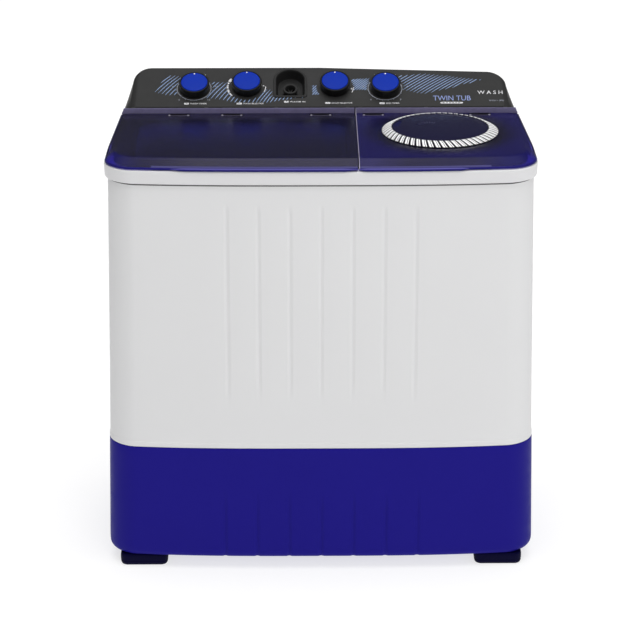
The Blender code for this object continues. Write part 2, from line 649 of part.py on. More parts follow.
def make_spin_side():
    tubm = material("tub_plastic", TUB, 0.4)
    steel = material("bright_steel", STEEL, 0.3, 1.0)
    turned("spin_outer_tub", [(144.0, 861.8), (136.0, 861.8), (136.0, 846.0), (150.0, 822.0), (150.0, 414.0),
                              (142.0, 398.0), (48.0, 396.0), (40.5, 396.0), (40.5, 393.5), (48.0, 393.5), (143.0, 395.4),
                              (152.5, 413.0), (152.5, 823.0), (138.5, 847.0), (138.5, 859.3), (144.0, 859.3)],
           tubm, 28, SPIN_C)
    turned("spin_boot", [(10.2, 404.0), (14.0, 404.0), (19.0, 392.0), (28.0, 390.0), (32.0, 393.0), (39.8, 393.0),
                         (39.8, 389.0), (30.0, 387.0), (19.0, 386.0), (10.2, 398.0)],
           material("boot_rubber", RUBBER, 0.7), 16, SPIN_C)
    turned("spin_basket", [(0.0, 440.4), (9.4, 440.4), (9.4, 408.0), (16.0, 408.0), (18.0, 424.0), (120.0, 426.0),
                           (127.5, 434.0), (127.5, 803.0), (122.0, 812.0), (117.0, 812.0), (125.3, 801.0),
                           (125.3, 437.0), (118.0, 430.0), (36.0, 429.0), (28.0, 452.0), (0.0, 456.0)],
           material("basket_blue", (0.22, 0.26, 0.42), 0.35), 28, SPIN_C)
    turned("spin_shaft", [(0.0, 302.0), (8.2, 302.0), (9.0, 303.0), (9.0, 440.0), (0.0, 440.0)], steel, 16, SPIN_C)
    turned("brake_drum", [(9.4, 314.0), (20.0, 314.0), (22.0, 322.0), (44.0, 322.0), (48.0, 318.0), (48.0, 342.0),
                          (45.0, 342.0), (44.0, 327.0), (20.0, 327.0), (16.0, 350.0), (9.4, 350.0)],
           material("drum_steel", (0.3, 0.3, 0.3), 0.45, 1.0), 20, SPIN_C)
    turned("spin_motor", [(0.0, 146.4), (92.0, 146.4), (92.0, 150.0), (62.0, 151.0), (62.0, 196.0), (58.0, 198.0),
                          (58.0, 242.0), (62.0, 244.0), (62.0, 280.0), (52.0, 290.0), (20.0, 292.0), (18.0, 301.6),
                          (0.0, 301.6)], material("motor_grey", (0.25, 0.26, 0.27), 0.45, 0.6), 20, SPIN_C)
    rib = [(0.0, 29.2), (15.0, 29.2), (15.0, 42.0)]
    for i in range(2):
        z = 56.0 + i * 42.0
        rib += [(9.5, z + 4.0), (12.5, z + 14.0)]
    rib += [(9.5, 140.0), (14.0, 146.0), (0.0, 146.0)]
    for i, a in enumerate((90.0, 210.0, 330.0)):
        at = (SPIN_C[0] + 76.0 * math.cos(math.radians(a)), SPIN_C[1] + 76.0 * math.sin(math.radians(a)))
        turned("motor_mount_%d" % (i + 1), rib, material("boot_rubber", RUBBER, 0.7), 10, at)
    # brake lever with its shoe, free of the drum while the lid is shut
    bx, by = BRAKE_C
    gap = 3.0
    x0 = SPIN_C[0] + 48.0 + gap
    cy = SPIN_C[1]
    outline = [(x0, cy - 14.0), (x0 + 6.0, cy - 18.0), (x0 + 8.0, cy - 58.0), (x0 + 16.0, cy - 58.0),
               (x0 + 15.0, cy - 10.0), (bx + 9.0, by - 4.0), (bx + 6.0, by + 7.0), (bx - 6.0, by + 7.0),
               (bx - 8.0, by - 4.0), (x0 + 5.0, cy + 18.0), (x0 + 0.6, cy + 14.0), (x0 - 0.4, cy)]
    lever = plate_mesh("brake_lever", [outline, circle(bx, by, 4.4, 16)], 324.0, 336.0,
                       material("zinc_steel", (0.5, 0.5, 0.48), 0.4, 1.0))
    return lever


def make_drain():
    turned("drain_valve_housing", [(11.0, 290.0), (22.0, 290.0), (22.0, 342.1), (34.0, 342.1), (34.0, 338.0),
                                   (25.0, 336.0), (25.0, 286.0), (11.0, 286.0)],
           material("tub_plastic", TUB, 0.4), 16, DRAIN_C)
    turned("drain_plug", [(0.0, 290.3), (15.0, 290.3), (17.5, 293.0), (17.5, 299.0), (4.0, 305.0), (3.0, 328.0),
                          (0.0, 328.0)], material("boot_rubber", RUBBER, 0.7), 14, DRAIN_C)
    x, y = DRAIN_C
    bend = [(x, y + 34.0 - 34.0 * math.cos(math.radians(a)), 184.0 - 34.0 * math.sin(math.radians(a))) for a in range(0, 91, 18)]
    pts = [(x, y, 285.7)] + bend + [(x, 258.8, 150.0)]
    src = tube("drain_spout_src", pts, 15.0, material("hose_grey", (0.45, 0.46, 0.5), 0.5), 3)
    bpy.context.view_layer.update()
    me = bpy.data.meshes.new_from_object(src.evaluated_get(bpy.context.evaluated_depsgraph_get()))
    bpy.data.objects.remove(src, do_unlink=True)
    bm = bmesh.new()
    bm.from_mesh(me)
    bmesh.ops.remove_doubles(bm, verts=bm.verts, dist=1e-6)
    bm.to_mesh(me)
    bm.free()
    ob = link(bpy.data.objects.new("drain_spout", me))
    boolean(ob, rod("cut_spout_bore", 12.0, 205.0, 270.0, (x, 0.0, 150.0), axis='Y', segments=16))
    return ob


def make_filter():
    """Lint filter cassette clipped to the back wall of the wash tub, under the deck."""
    ob = block("lint_filter", (92.0, 13.0, 150.0), (-160.0, 121.0, 640.0), material("filter_white", WHITE, 0.4))
    bevel(ob, 3.0)
    return ob


# -------------------------------------------------------------------- lids
def lid_ring(par, z_front, z_side, side_in, x_end, sign, ys, xs):
    """Path from the back of the outer side, round the front corner, to the split line."""
    wf, wb, yc, bow, r = par
    pts = []
    last = yc + r + 4.0                      # side points stop where the corner arc starts
    for y, inset in ys:
        y = Y_LID_BACK + (y - Y_LID_BACK) * (Y_LID_BACK - last) / (Y_LID_BACK + 176.0)
        x = wf + (wb - wf) * (y + 238.0) / 482.0 - side_in * inset
        pts.append((sign * x, y, z_front + (z_side - z_front) * inset))
    for x, y in fillet((-wf, yc), (-wb, 244.0), (wf, yc), r, 6):
        k = min(1.0, max(0.0, (yc + r - y) / r))
        pts.append((-sign * x, y - k * bow * (1.0 - abs(x / wf) ** 3), z_front))
    for x in xs:
        pts.append((x, yc - bow * (1.0 - abs(x / wf) ** 3), z_front))
    pts.append((x_end, yc - bow * (1.0 - abs(x_end / wf) ** 3), z_front))
    return pts


def lid_mesh(name, sign, x_end, xs, mat):
    ys = ((Y_LID_BACK, 1.0), (-20.0, 1.0), (-120.0, 1.0), (-150.0, 0.9), (-168.0, 0.5), (-176.0, 0.0))
    rings = [
        lid_ring((430.5, 405.2, -236.5, 18.0, 56.5), 862.5, 877.6, 3.0, x_end, sign, ys, xs),
        lid_ring((428.5, 403.2, -234.5, 18.0, 54.5), 866.6, 878.2, 3.0, x_end, sign, ys, xs),
        lid_ring((414.0, 388.5, -210.0, 18.0, 46.0), 878.6, 879.1, 0.0, x_end, sign, ys, xs),
        lid_ring((408.0, 382.5, -203.0, 18.0, 42.0), Z_LID, Z_LID, 0.0, x_end, sign, ys, xs),
    ]
    bm = bmesh.new()
    rows = [[bm.verts.new(Vector(p) * MM) for p in ring] for ring in rings]
    n = len(rows[0])
    for a, b in zip(rows, rows[1:]):
        for i in range(n - 1):
            bm.faces.new((a[i], a[i + 1], b[i + 1], b[i]))
    top = rows[-1]
    corner = bm.verts.new(Vector((x_end, Y_LID_BACK, Z_LID)) * MM)
    bm.faces.new(top + [corner])
    lip_a = bm.verts.new(Vector((sign * LIP_HALF, Y_LID_BACK, Z_LID_LIP)) * MM)
    lip_b = bm.verts.new(Vector((x_end, Y_LID_BACK, Z_LID_LIP)) * MM)
    bm.faces.new([row[0] for row in rows] + [corner, lip_b, lip_a])
    bmesh.ops.recalc_face_normals(bm, faces=bm.faces)
    bm.normal_update()
    flat = max(bm.faces, key=lambda f: f.calc_area())
    if flat.normal.z < 0.0:
        bmesh.ops.reverse_faces(bm, faces=bm.faces)
    me = bpy.data.meshes.new(name)
    bm.to_mesh(me)
    bm.free()
    ob = bpy.data.objects.new(name, me)
    me.materials.append(mat)
    link(ob)
    me.shade_smooth()
    me.set_sharp_from_angle(angle=math.radians(20.0))
    me.transform(Matrix.Translation((0.0, -HINGE_Y * MM, -HINGE_Z * MM)))
    ob.location = (0.0, HINGE_Y * MM, HINGE_Z * MM)
    solidify(ob, LID_T)
    return ob


def finger_lip(name, x0, x1):
    """Rounded pull lip that stands proud of the lids' front edge."""
    n = 8
    top = []
    for i in range(n + 1):
        x = x0 + (x1 - x0) * i / n
        top.append((x, -236.5 - 18.0 * (1.0 - abs(x / 430.5) ** 3)))
    rings = []
    for dy, z in ((1.2, 866.0), (-2.6, 864.6), (-4.3, 862.0), (-3.8, 859.6), (-2.4, 859.2), (-2.2, 862.6), (2.4, 863.2)):
        rings.append([(x, y + dy, z) for x, y in top])
    bm = bmesh.new()
    rows = [[bm.verts.new(Vector(p) * MM) for p in ring] for ring in rings]
    for a, b in zip(rows, rows[1:] + rows[:1]):
        for i in range(n):
            bm.faces.new((a[i], a[i + 1], b[i + 1], b[i]))
    bm.faces.new([r[0] for r in rows])
    bm.faces.new([r[-1] for r in reversed(rows)])
    return from_bmesh(name, bm, None, CUTTERS)


def make_lids():
    mat = material("lid_blue", LID_BLUE, 0.12, 0.0, 0.6)
    wash = lid_mesh("wash_lid", -1.0, X_SPLIT - LID_GAP, (-294.0, -200.0, -100.0, 0.0), mat)
    spin = lid_mesh("spin_lid", 1.0, X_SPLIT + LID_GAP, (288.0, 215.0, 145.0), mat)
    boolean(spin, rod("cut_vent", 88.0, 860.0, 900.0, (*SPIN_C, 0.0), segments=32))
    boolean(wash, finger_lip("lip_wash", -294.0, X_SPLIT - LID_GAP), 'UNION')
    boolean(spin, finger_lip("lip_spin", X_SPLIT + LID_GAP, 288.0), 'UNION')
    for ob, places in ((wash, WASH_KNUCKLES), (spin, SPIN_KNUCKLES)):
        for i, x in enumerate(places):
            boolean(ob, rod("%s_knuckle_%d" % (ob.name, i), HINGE_R, -0.5 * KNUCKLE_W, 0.5 * KNUCKLE_W,
                            (x, HINGE_Y, HINGE_Z), segments=16, axis='X'), 'UNION')
            boolean(ob, rod("cut_%s_%d" % (ob.name, i), HINGE_HOLE_R, -KNUCKLE_W, KNUCKLE_W, (x, HINGE_Y, HINGE_Z),
                            segments=12, axis='X'))
    steel = material("bright_steel", STEEL, 0.3, 1.0)
    rod("wash_hinge_pin", PIN_R, -391.0, 68.0, (0.0, HINGE_Y, HINGE_Z), steel, 12, PARTS, None, 'X')
    rod("spin_hinge_pin", PIN_R, 77.0, 390.0, (0.0, HINGE_Y, HINGE_Z), steel, 12, PARTS, None, 'X')
    turned("vent_ring", [(91.0, 880.3), (VENT_R, 880.3), (VENT_R, 881.6), (105.5, 889.8), (100.0, 890.6), (97.3, 890.6),
                         (97.3, 886.0), (91.0, 886.0)], material("vent_silver", SILVER, 0.3, 0.8), 32, SPIN_C)
    turned("vent_cap", [(0.0, 886.3), (CAP_R, 886.3), (CAP_R, 890.7), (94.0, 891.6), (50.0, 892.2), (0.0, 892.4)],
           material("cap_navy", NAVY, 0.2), 28, SPIN_C)


# ------------------------------------------------------------- small pieces
def make_feet():
    mat = material("foot_rubber", NAVY, 0.6)
    for name, x, y in (("foot_front_left", -366.0, -196.0), ("foot_front_right", 366.0, -196.0),
                       ("foot_rear_left", -345.0, 190.0), ("foot_rear_right", 345.0, 190.0)):
        rings = []
        for o, z in ((5.0, 0.0), (1.0, 4.0), (0.0, 12.0), (0.0, Z_FOOT)):
            rings.append([(px, py, z) for px, py in rounded_rect(x - 49.0 + o, x + 49.0 - o, y - 33.0 + o, y + 33.0 - o, 14.0 - o, 3)])
        loft(name, rings, mat, cap_first=True, cap_last=True)


def make_rear():
    cover = block("rear_cover", (624.0, 2.0, 484.0), (0.0, 241.3, 560.0), material("cover_grey", (0.6, 0.6, 0.6), 0.45))
    bevel(cover, 0.6)
    for i, (x, z) in enumerate(((-305.0, 326.0), (305.0, 326.0), (305.0, 794.0), (-305.0, 794.0))):
        e = link(bpy.data.objects.new("frame_screw_%d" % (i + 1), None))
        e.matrix_world = Matrix.Translation((x * MM, 242.6 * MM, z * MM)) @ Matrix.Rotation(math.radians(-90.0), 4, 'X')
        turned("rear_screw_%d" % (i + 1), [(0.0, 0.0), (6.0, 0.0), (5.6, 1.6), (3.0, 3.0), (0.0, 3.2)],
               material("screw_steel", STEEL, 0.3, 1.0), 10, base=e)
    e = link(bpy.data.objects.new("frame_gland", None))
    e.matrix_world = Matrix.Translation((340.0 * MM, Y_BACK * MM, 310.0 * MM)) @ Matrix.Rotation(math.radians(-90.0), 4, 'X')
    turned("cord_gland", [(4.0, -8.0), (4.0, 8.0), (10.0, 6.0), (12.5, 0.4), (9.2, 0.4), (9.2, -8.0)],
           material("boot_rubber", RUBBER, 0.7), 16, base=e)


def main():
    make_base()
    make_casing()
    make_top_frame()
    make_deck()
    make_console()
    make_port()
    make_knobs()
    make_controls()
    make_wash_tub()
    make_wash_drive()
    make_spin_side()
    make_drain()
    make_filter()
    make_lids()
    make_feet()
    make_rear()
    bpy.context.view_layer.update()


main()
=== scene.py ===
import json
import math

import bmesh
import bpy
from mathutils import Matrix, Vector

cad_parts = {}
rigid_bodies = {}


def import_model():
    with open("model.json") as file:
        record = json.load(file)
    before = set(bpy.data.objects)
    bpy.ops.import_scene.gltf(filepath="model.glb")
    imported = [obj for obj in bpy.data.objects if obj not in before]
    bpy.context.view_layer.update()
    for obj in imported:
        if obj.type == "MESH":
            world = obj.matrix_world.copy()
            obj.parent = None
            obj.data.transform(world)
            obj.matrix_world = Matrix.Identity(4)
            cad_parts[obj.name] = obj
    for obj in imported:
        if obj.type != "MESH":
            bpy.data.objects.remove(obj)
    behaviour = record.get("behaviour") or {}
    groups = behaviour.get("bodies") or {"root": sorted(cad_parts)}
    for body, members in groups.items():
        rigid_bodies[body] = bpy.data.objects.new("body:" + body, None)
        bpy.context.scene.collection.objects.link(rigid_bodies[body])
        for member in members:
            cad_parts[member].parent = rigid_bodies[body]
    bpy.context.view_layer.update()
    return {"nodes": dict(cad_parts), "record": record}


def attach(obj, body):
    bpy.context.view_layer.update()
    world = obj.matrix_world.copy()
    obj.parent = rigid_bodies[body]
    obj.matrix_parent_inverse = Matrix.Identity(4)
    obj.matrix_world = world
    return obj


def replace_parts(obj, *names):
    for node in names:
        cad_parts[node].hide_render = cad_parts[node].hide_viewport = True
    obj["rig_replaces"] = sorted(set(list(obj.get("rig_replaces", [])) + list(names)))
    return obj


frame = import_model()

# Twin tub washer, looks.  Shapes are written in millimetres in the row frame.
MM = 0.001
Z_BASE, Z_SEAM, Z_CASE, Z_CASE_TOP = 25.6, 270.7, 271.0, 833.0
Z_TRIM, Z_TOP, Z_LID = 833.3, 860.5, 880.0
Y_BACK, X_SPLIT, LID_GAP = 240.0, 72.5, 1.2
Y_LID_BACK, Z_LID_LIP = 86.0, 891.0
HINGE_Y, HINGE_Z = 92.5, 885.5
LIP_HALF = 404.5
FACE_Y, FACE_Z, FACE_TILT, FACE_BACK_Y = 99.5, 889.8, math.radians(27.2), 206.0
KNOBS = {"wash_timer": (-260.5, 56.0), "wash_selector": (-151.5, 60.0),
         "drain_selector": (32.0, 60.0), "spin_timer": (137.0, 55.5)}
PORT_U, PORT_V0, PORT_V1, PORT_R, PORT_DEPTH = -61.0, 32.0, 112.0, 31.0, 24.0
WASH_C, SPIN_C, DRAIN_C = (-161.0, -34.0), (241.7, -47.0), (-290.0, 60.0)
FLUTES_TOP = [i * 62.4 for i in range(-3, 4)]
FLUTES_BASE = [i * 65.8 for i in range(-3, 4)]
C, S = math.cos(FACE_TILT), math.sin(FACE_TILT)
BODY = "cabinet"


# ------------------------------------------------------------------ materials
def surface(name, rgb, rough, metal=0.0, tint=0.05, tint_scale=5.0, grain=700.0, bump=0.12, dist=0.0001,
            rough_var=0.06, spec=0.5, coat=0.0, coat_rough=0.12, stretch=None, speck=0.0, speck_rgb=None,
            sheen=0.0, wear=0.0, ior=1.5):
    """Procedural plastic, paint, rubber or metal: colour drift, grain bump, uneven gloss."""
    m = bpy.data.materials.new(name)
    m.use_nodes = True
    nt = m.node_tree
    n, l = nt.nodes, nt.links
    b = n["Principled BSDF"]
    b.inputs["Metallic"].default_value = metal
    b.inputs["Specular IOR Level"].default_value = spec
    b.inputs["IOR"].default_value = ior
    b.inputs["Coat Weight"].default_value = coat
    b.inputs["Coat Roughness"].default_value = coat_rough
    b.inputs["Sheen Weight"].default_value = sheen
    tc = n.new("ShaderNodeTexCoord")
    src = tc.outputs["Object"]
    if stretch:
        mp = n.new("ShaderNodeMapping")
        mp.inputs["Scale"].default_value = stretch
        l.new(src, mp.inputs["Vector"])
        fine_src = mp.outputs["Vector"]
    else:
        fine_src = src

    def noise(scale, detail, rough_, vec):
        t = n.new("ShaderNodeTexNoise")
        t.inputs["Scale"].default_value = scale
        t.inputs["Detail"].default_value = detail
        t.inputs["Roughness"].default_value = rough_
        l.new(vec, t.inputs["Vector"])
        return t.outputs["Fac"]

    big = noise(tint_scale, 3.0, 0.55, src)
    mid = noise(tint_scale * 9.0, 4.0, 0.6, fine_src)
    fine = noise(grain, 2.0, 0.5, fine_src)
    mix = n.new("ShaderNodeMix")
    mix.data_type = 'RGBA'
    mix.inputs[6].default_value = (*[max(0.0, c * (1.0 - tint)) for c in rgb], 1.0)
    mix.inputs[7].default_value = (*[min(1.0, c * (1.0 + tint)) for c in rgb], 1.0)
    l.new(big, mix.inputs[0])
    out = mix.outputs[2]
    if speck:
        v = n.new("ShaderNodeTexVoronoi")
        v.inputs["Scale"].default_value = grain * 0.6
        l.new(src, v.inputs["Vector"])
        r = n.new("ShaderNodeMapRange")
        r.inputs["From Min"].default_value = 0.10
        r.inputs["From Max"].default_value = 0.18
        r.inputs["To Min"].default_value = speck
        r.inputs["To Max"].default_value = 0.0
        l.new(v.outputs["Distance"], r.inputs["Value"])
        m2 = n.new("ShaderNodeMix")
        m2.data_type = 'RGBA'
        m2.inputs[7].default_value = (*(speck_rgb or [min(1.0, c * 2.0 + 0.02) for c in rgb]), 1.0)
        l.new(out, m2.inputs[6])
        l.new(r.outputs["Result"], m2.inputs[0])
        out = m2.outputs[2]
    if wear:
        g = n.new("ShaderNodeNewGeometry")
        r = n.new("ShaderNodeMapRange")
        r.inputs["From Min"].default_value = 0.52
        r.inputs["From Max"].default_value = 0.62
        r.inputs["To Min"].default_value = 0.0
        r.inputs["To Max"].default_value = wear
        l.new(g.outputs["Pointiness"], r.inputs["Value"])
        m3 = n.new("ShaderNodeMix")
        m3.data_type = 'RGBA'
        m3.inputs[7].default_value = (*[min(1.0, c * 1.6 + 0.03) for c in rgb], 1.0)
        l.new(out, m3.inputs[6])
        l.new(r.outputs["Result"], m3.inputs[0])
        out = m3.outputs[2]
    l.new(out, b.inputs["Base Color"])
    r = n.new("ShaderNodeMapRange")
    r.inputs["From Min"].default_value = 0.3
    r.inputs["From Max"].default_value = 0.7
    r.inputs["To Min"].default_value = max(0.02, rough - rough_var)
    r.inputs["To Max"].default_value = min(1.0, rough + rough_var)
    l.new(mid, r.inputs["Value"])
    l.new(r.outputs["Result"], b.inputs["Roughness"])
    if bump:
        bp = n.new("ShaderNodeBump")
        bp.inputs["Strength"].default_value = bump
        bp.inputs["Distance"].default_value = dist
        l.new(fine, bp.inputs["Height"])
        l.new(bp.outputs["Normal"], b.inputs["Normal"])
    return m


def see_through(name, rgb, lamp, rough=0.03, ior=1.35, cloud_and_painted_light=None, cloud_and_painted_light_part=0.0, painted_light_ramp=None):
    """Clear tinted plastic that lets lamp light through, with faint moulding waves. An optional diffuse mix adds a
    cloudy body colour; when ramped by place on the lid, that colour is painted light, reflection and shade.
    """
    m = bpy.data.materials.new(name)
    m.use_nodes = True
    nt = m.node_tree
    n, l = nt.nodes, nt.links
    b = n["Principled BSDF"]
    out = n["Material Output"]
    b.inputs["IOR"].default_value = ior
    b.inputs["Transmission Weight"].default_value = 1.0
    b.inputs["Sheen Weight"].default_value = 0.03
    b.inputs["Sheen Roughness"].default_value = 0.4
    tc = n.new("ShaderNodeTexCoord")
    t = n.new("ShaderNodeTexNoise")
    t.inputs["Scale"].default_value = 7.0
    t.inputs["Detail"].default_value = 3.0
    l.new(tc.outputs["Object"], t.inputs["Vector"])
    mix = n.new("ShaderNodeMix")
    mix.data_type = 'RGBA'
    mix.inputs[6].default_value = (*[c * 0.93 for c in rgb], 1.0)
    mix.inputs[7].default_value = (*[min(1.0, c * 1.07) for c in rgb], 1.0)
    l.new(t.outputs["Fac"], mix.inputs[0])
    l.new(mix.outputs[2], b.inputs["Base Color"])
    r = n.new("ShaderNodeMapRange")
    r.inputs["From Min"].default_value = 0.3
    r.inputs["From Max"].default_value = 0.7
    r.inputs["To Min"].default_value = rough * 0.8
    r.inputs["To Max"].default_value = rough * 1.2
    l.new(t.outputs["Fac"], r.inputs["Value"])
    l.new(r.outputs["Result"], b.inputs["Roughness"])
    w = n.new("ShaderNodeTexNoise")
    w.inputs["Scale"].default_value = 26.0
    w.inputs["Detail"].default_value = 1.0
    l.new(tc.outputs["Object"], w.inputs["Vector"])
    bp = n.new("ShaderNodeBump")
    bp.inputs["Strength"].default_value = 0.12
    bp.inputs["Distance"].default_value = 0.0002
    l.new(w.outputs["Fac"], bp.inputs["Height"])
    l.new(bp.outputs["Normal"], b.inputs["Normal"])
    tr = n.new("ShaderNodeBsdfTransparent")
    tr.inputs["Color"].default_value = (*lamp, 1.0)
    lp = n.new("ShaderNodeLightPath")
    body = b.outputs[0]
    if cloud_and_painted_light:
        fog = n.new("ShaderNodeTexNoise")
        fog.inputs["Scale"].default_value = 9.0
        fog.inputs["Detail"].default_value = 2.0
        l.new(tc.outputs["Object"], fog.inputs["Vector"])
        shade = n.new("ShaderNodeMix")
        shade.data_type = 'RGBA'
        shade.inputs[6].default_value = (*[c * 0.88 for c in cloud_and_painted_light], 1.0)
        shade.inputs[7].default_value = (*[min(1.0, c * 1.12) for c in cloud_and_painted_light], 1.0)
        l.new(fog.outputs["Fac"], shade.inputs[0])
        # ramp by distance from the centre line or from the vent: painted light, reflection and shade
        if painted_light_ramp:
            kind, stops = painted_light_ramp
            if kind == "side":
                sep = n.new("ShaderNodeSeparateXYZ")
                l.new(tc.outputs["Object"], sep.inputs[0])
                far = n.new("ShaderNodeMath")
                far.operation = 'ABSOLUTE'
                l.new(sep.outputs["X"], far.inputs[0])
                value = far.outputs[0]
            else:
                far = n.new("ShaderNodeVectorMath")
                far.operation = 'DISTANCE'
                far.inputs[1].default_value = (SPIN_C[0] * MM, SPIN_C[1] * MM, 0.880)
                l.new(tc.outputs["Object"], far.inputs[0])
                value = far.outputs["Value"]
            wide = n.new("ShaderNodeMapRange")
            wide.inputs["From Max"].default_value = 0.45
            l.new(value, wide.inputs["Value"])
            ramp = n.new("ShaderNodeValToRGB")
            for i, (at, colour) in enumerate(stops):
                e = ramp.color_ramp.elements[i] if i < 2 else ramp.color_ramp.elements.new(at / 0.45)
                e.position = at / 0.45
                e.color = (*colour, 1.0)
            l.new(wide.outputs["Result"], ramp.inputs[0])
            tone = n.new("ShaderNodeMix")
            tone.data_type = 'RGBA'
            tone.blend_type = 'MULTIPLY'
            tone.inputs[0].default_value = 1.0
            l.new(ramp.outputs["Color"], tone.inputs[6])
            l.new(shade.outputs[2], tone.inputs[7])
            shade = tone
        cloud_and_painted_light_bsdf = n.new("ShaderNodeBsdfDiffuse")
        l.new(shade.outputs[2], cloud_and_painted_light_bsdf.inputs["Color"])
        part = n.new("ShaderNodeMixShader")
        part.inputs[0].default_value = cloud_and_painted_light_part
        l.new(body, part.inputs[1])
        l.new(cloud_and_painted_light_bsdf.outputs[0], part.inputs[2])
        body = part.outputs[0]
    for kind in ("Is Diffuse Ray", "Is Shadow Ray"):
        ms = n.new("ShaderNodeMixShader")
        l.new(lp.outputs[kind], ms.inputs[0])
        l.new(body, ms.inputs[1])
        l.new(tr.outputs[0], ms.inputs[2])
        body = ms.outputs[0]
    l.new(body, out.inputs["Surface"])
    return m


M = {
    "base_blue": surface("m_base_blue", (0.0125, 0.0085, 0.215), 0.42, spec=0.5, ior=1.14, tint=0.05, bump=0.10, rough_var=0.08),
    "casing_white": surface("m_casing_white", (0.735, 0.735, 0.74), 0.42, spec=0.5, ior=1.3, tint=0.012, bump=0.10, rough_var=0.07),
    "frame_white": surface("m_frame_white", (0.712, 0.710, 0.722), 0.36, spec=0.35, tint=0.012, bump=0.08, rough_var=0.06),
    "rail_graphite": surface("m_rail_graphite", (0.022, 0.022, 0.026), 0.40, spec=0.3, tint=0.12, bump=0.25, wear=0.25),
    "deck_graphite": surface("m_deck_graphite", (0.030, 0.030, 0.036), 0.42, spec=0.3, tint=0.15, bump=0.3),
    "console_graphite": surface("m_console_graphite", (0.0255, 0.0255, 0.0255), 0.46, spec=0.28, tint=0.10, bump=0.35,
                                grain=1100.0, speck=0.10, wear=0.15),
    "port_black": surface("m_port_black", (0.017, 0.017, 0.017), 0.50, spec=0.35, tint=0.2, bump=0.2, wear=0.3),
    "tub_plastic": surface("m_tub_plastic_depth_shade", (0.30, 0.34, 0.46), 0.38, tint=0.05, bump=0.2, spec=0.4),
    "pulsator_blue": surface("m_pulsator_blue", (0.06, 0.10, 0.36), 0.36, tint=0.08, bump=0.12, coat=0.2, wear=0.2),
    "bright_steel": surface("m_bright_steel", (0.62, 0.62, 0.64), 0.20, 1.0, tint=0.06, bump=0.2, stretch=(1.0, 1.0, 0.05)),
    "housing_grey": surface("m_housing_grey", (0.30, 0.30, 0.31), 0.5, 0.8, tint=0.12, bump=0.5, grain=420.0, dist=0.0003),
    "pulley_white": surface("m_pulley_white", (0.55, 0.55, 0.53), 0.42, tint=0.05, bump=0.2),
    "pulley_metal": surface("m_pulley_metal", (0.55, 0.55, 0.56), 0.36, 1.0, tint=0.08, bump=0.25),
    "belt_rubber": surface("m_belt_rubber", (0.018, 0.018, 0.019), 0.72, tint=0.2, bump=0.5, grain=500.0, dist=0.0003),
    "motor_grey": surface("m_motor_grey", (0.16, 0.17, 0.18), 0.46, 0.5, tint=0.08, bump=0.4, grain=380.0, dist=0.0002, wear=0.3),
    "zinc_steel": surface("m_zinc_steel", (0.52, 0.52, 0.49), 0.36, 1.0, tint=0.14, tint_scale=24.0, bump=0.2),
    "boot_rubber": surface("m_boot_rubber", (0.017, 0.017, 0.018), 0.68, tint=0.2, bump=0.4, grain=450.0, dist=0.0003),
    "basket_blue": surface("m_basket_blue", (0.13, 0.16, 0.32), 0.36, tint=0.06, bump=0.15, coat=0.15),
    "drum_steel": surface("m_drum_steel", (0.32, 0.31, 0.30), 0.42, 1.0, tint=0.12, bump=0.3, stretch=(1.0, 1.0, 0.06)),
    "hose_grey": surface("m_hose_grey", (0.30, 0.31, 0.34), 0.5, tint=0.07, bump=0.25),
    "filter_white": surface("m_filter_white", (0.68, 0.69, 0.70), 0.4, tint=0.04, bump=0.2),
    "vent_silver": surface("m_vent_silver", (0.96, 0.96, 0.96), 0.36, 0.08, tint=0.03, bump=0.05, spec=0.6),
    "cap_navy": surface("m_cap_navy", (0.0090, 0.0085, 0.034), 0.20, tint=0.15, bump=0.05, spec=0.25, rough_var=0.05),
    "foot_rubber": surface("m_foot_rubber", (0.0012, 0.0008, 0.022), 0.60, tint=0.2, bump=0.4, grain=450.0, dist=0.0003, spec=0.08),
    "cover_grey": surface("m_cover_grey", (0.50, 0.50, 0.51), 0.5, tint=0.04, bump=0.3, grain=500.0),
    "screw_steel": surface("m_screw_steel", (0.60, 0.60, 0.60), 0.36, 1.0, tint=0.1, bump=0.2),
    "knob_black": surface("m_knob_black", (0.0055, 0.0055, 0.0058), 0.35, spec=0.35, tint=0.2, bump=0.08, wear=0.2),
    "cap_blue": surface("m_cap_blue", (0.0012, 0.0240, 0.320), 0.38, spec=0.12, tint=0.06, tint_scale=14.0, bump=0.06),
    "unit_grey": surface("m_unit_grey", (0.28, 0.28, 0.29), 0.5, tint=0.06, bump=0.3),
}


def paint_depth_shade(mat, z0, z1, low):
    """Painted shade: body colour that falls off with depth, from z1 down to z0."""
    nt = mat.node_tree
    n, l = nt.nodes, nt.links
    b = n["Principled BSDF"]
    src = b.inputs["Base Color"].links[0].from_socket
    tc = n.new("ShaderNodeTexCoord")
    sep = n.new("ShaderNodeSeparateXYZ")
    l.new(tc.outputs["Object"], sep.inputs[0])
    r = n.new("ShaderNodeMapRange")
    r.interpolation_type = 'SMOOTHSTEP'
    r.inputs["From Min"].default_value = z0
    r.inputs["From Max"].default_value = z1
    r.inputs["To Min"].default_value = low
    r.inputs["To Max"].default_value = 1.0
    l.new(sep.outputs["Z"], r.inputs["Value"])
    m = n.new("ShaderNodeVectorMath")
    m.operation = 'SCALE'
    l.new(src, m.inputs[0])
    l.new(r.outputs["Result"], m.inputs["Scale"])
    l.new(m.outputs["Vector"], b.inputs["Base Color"])
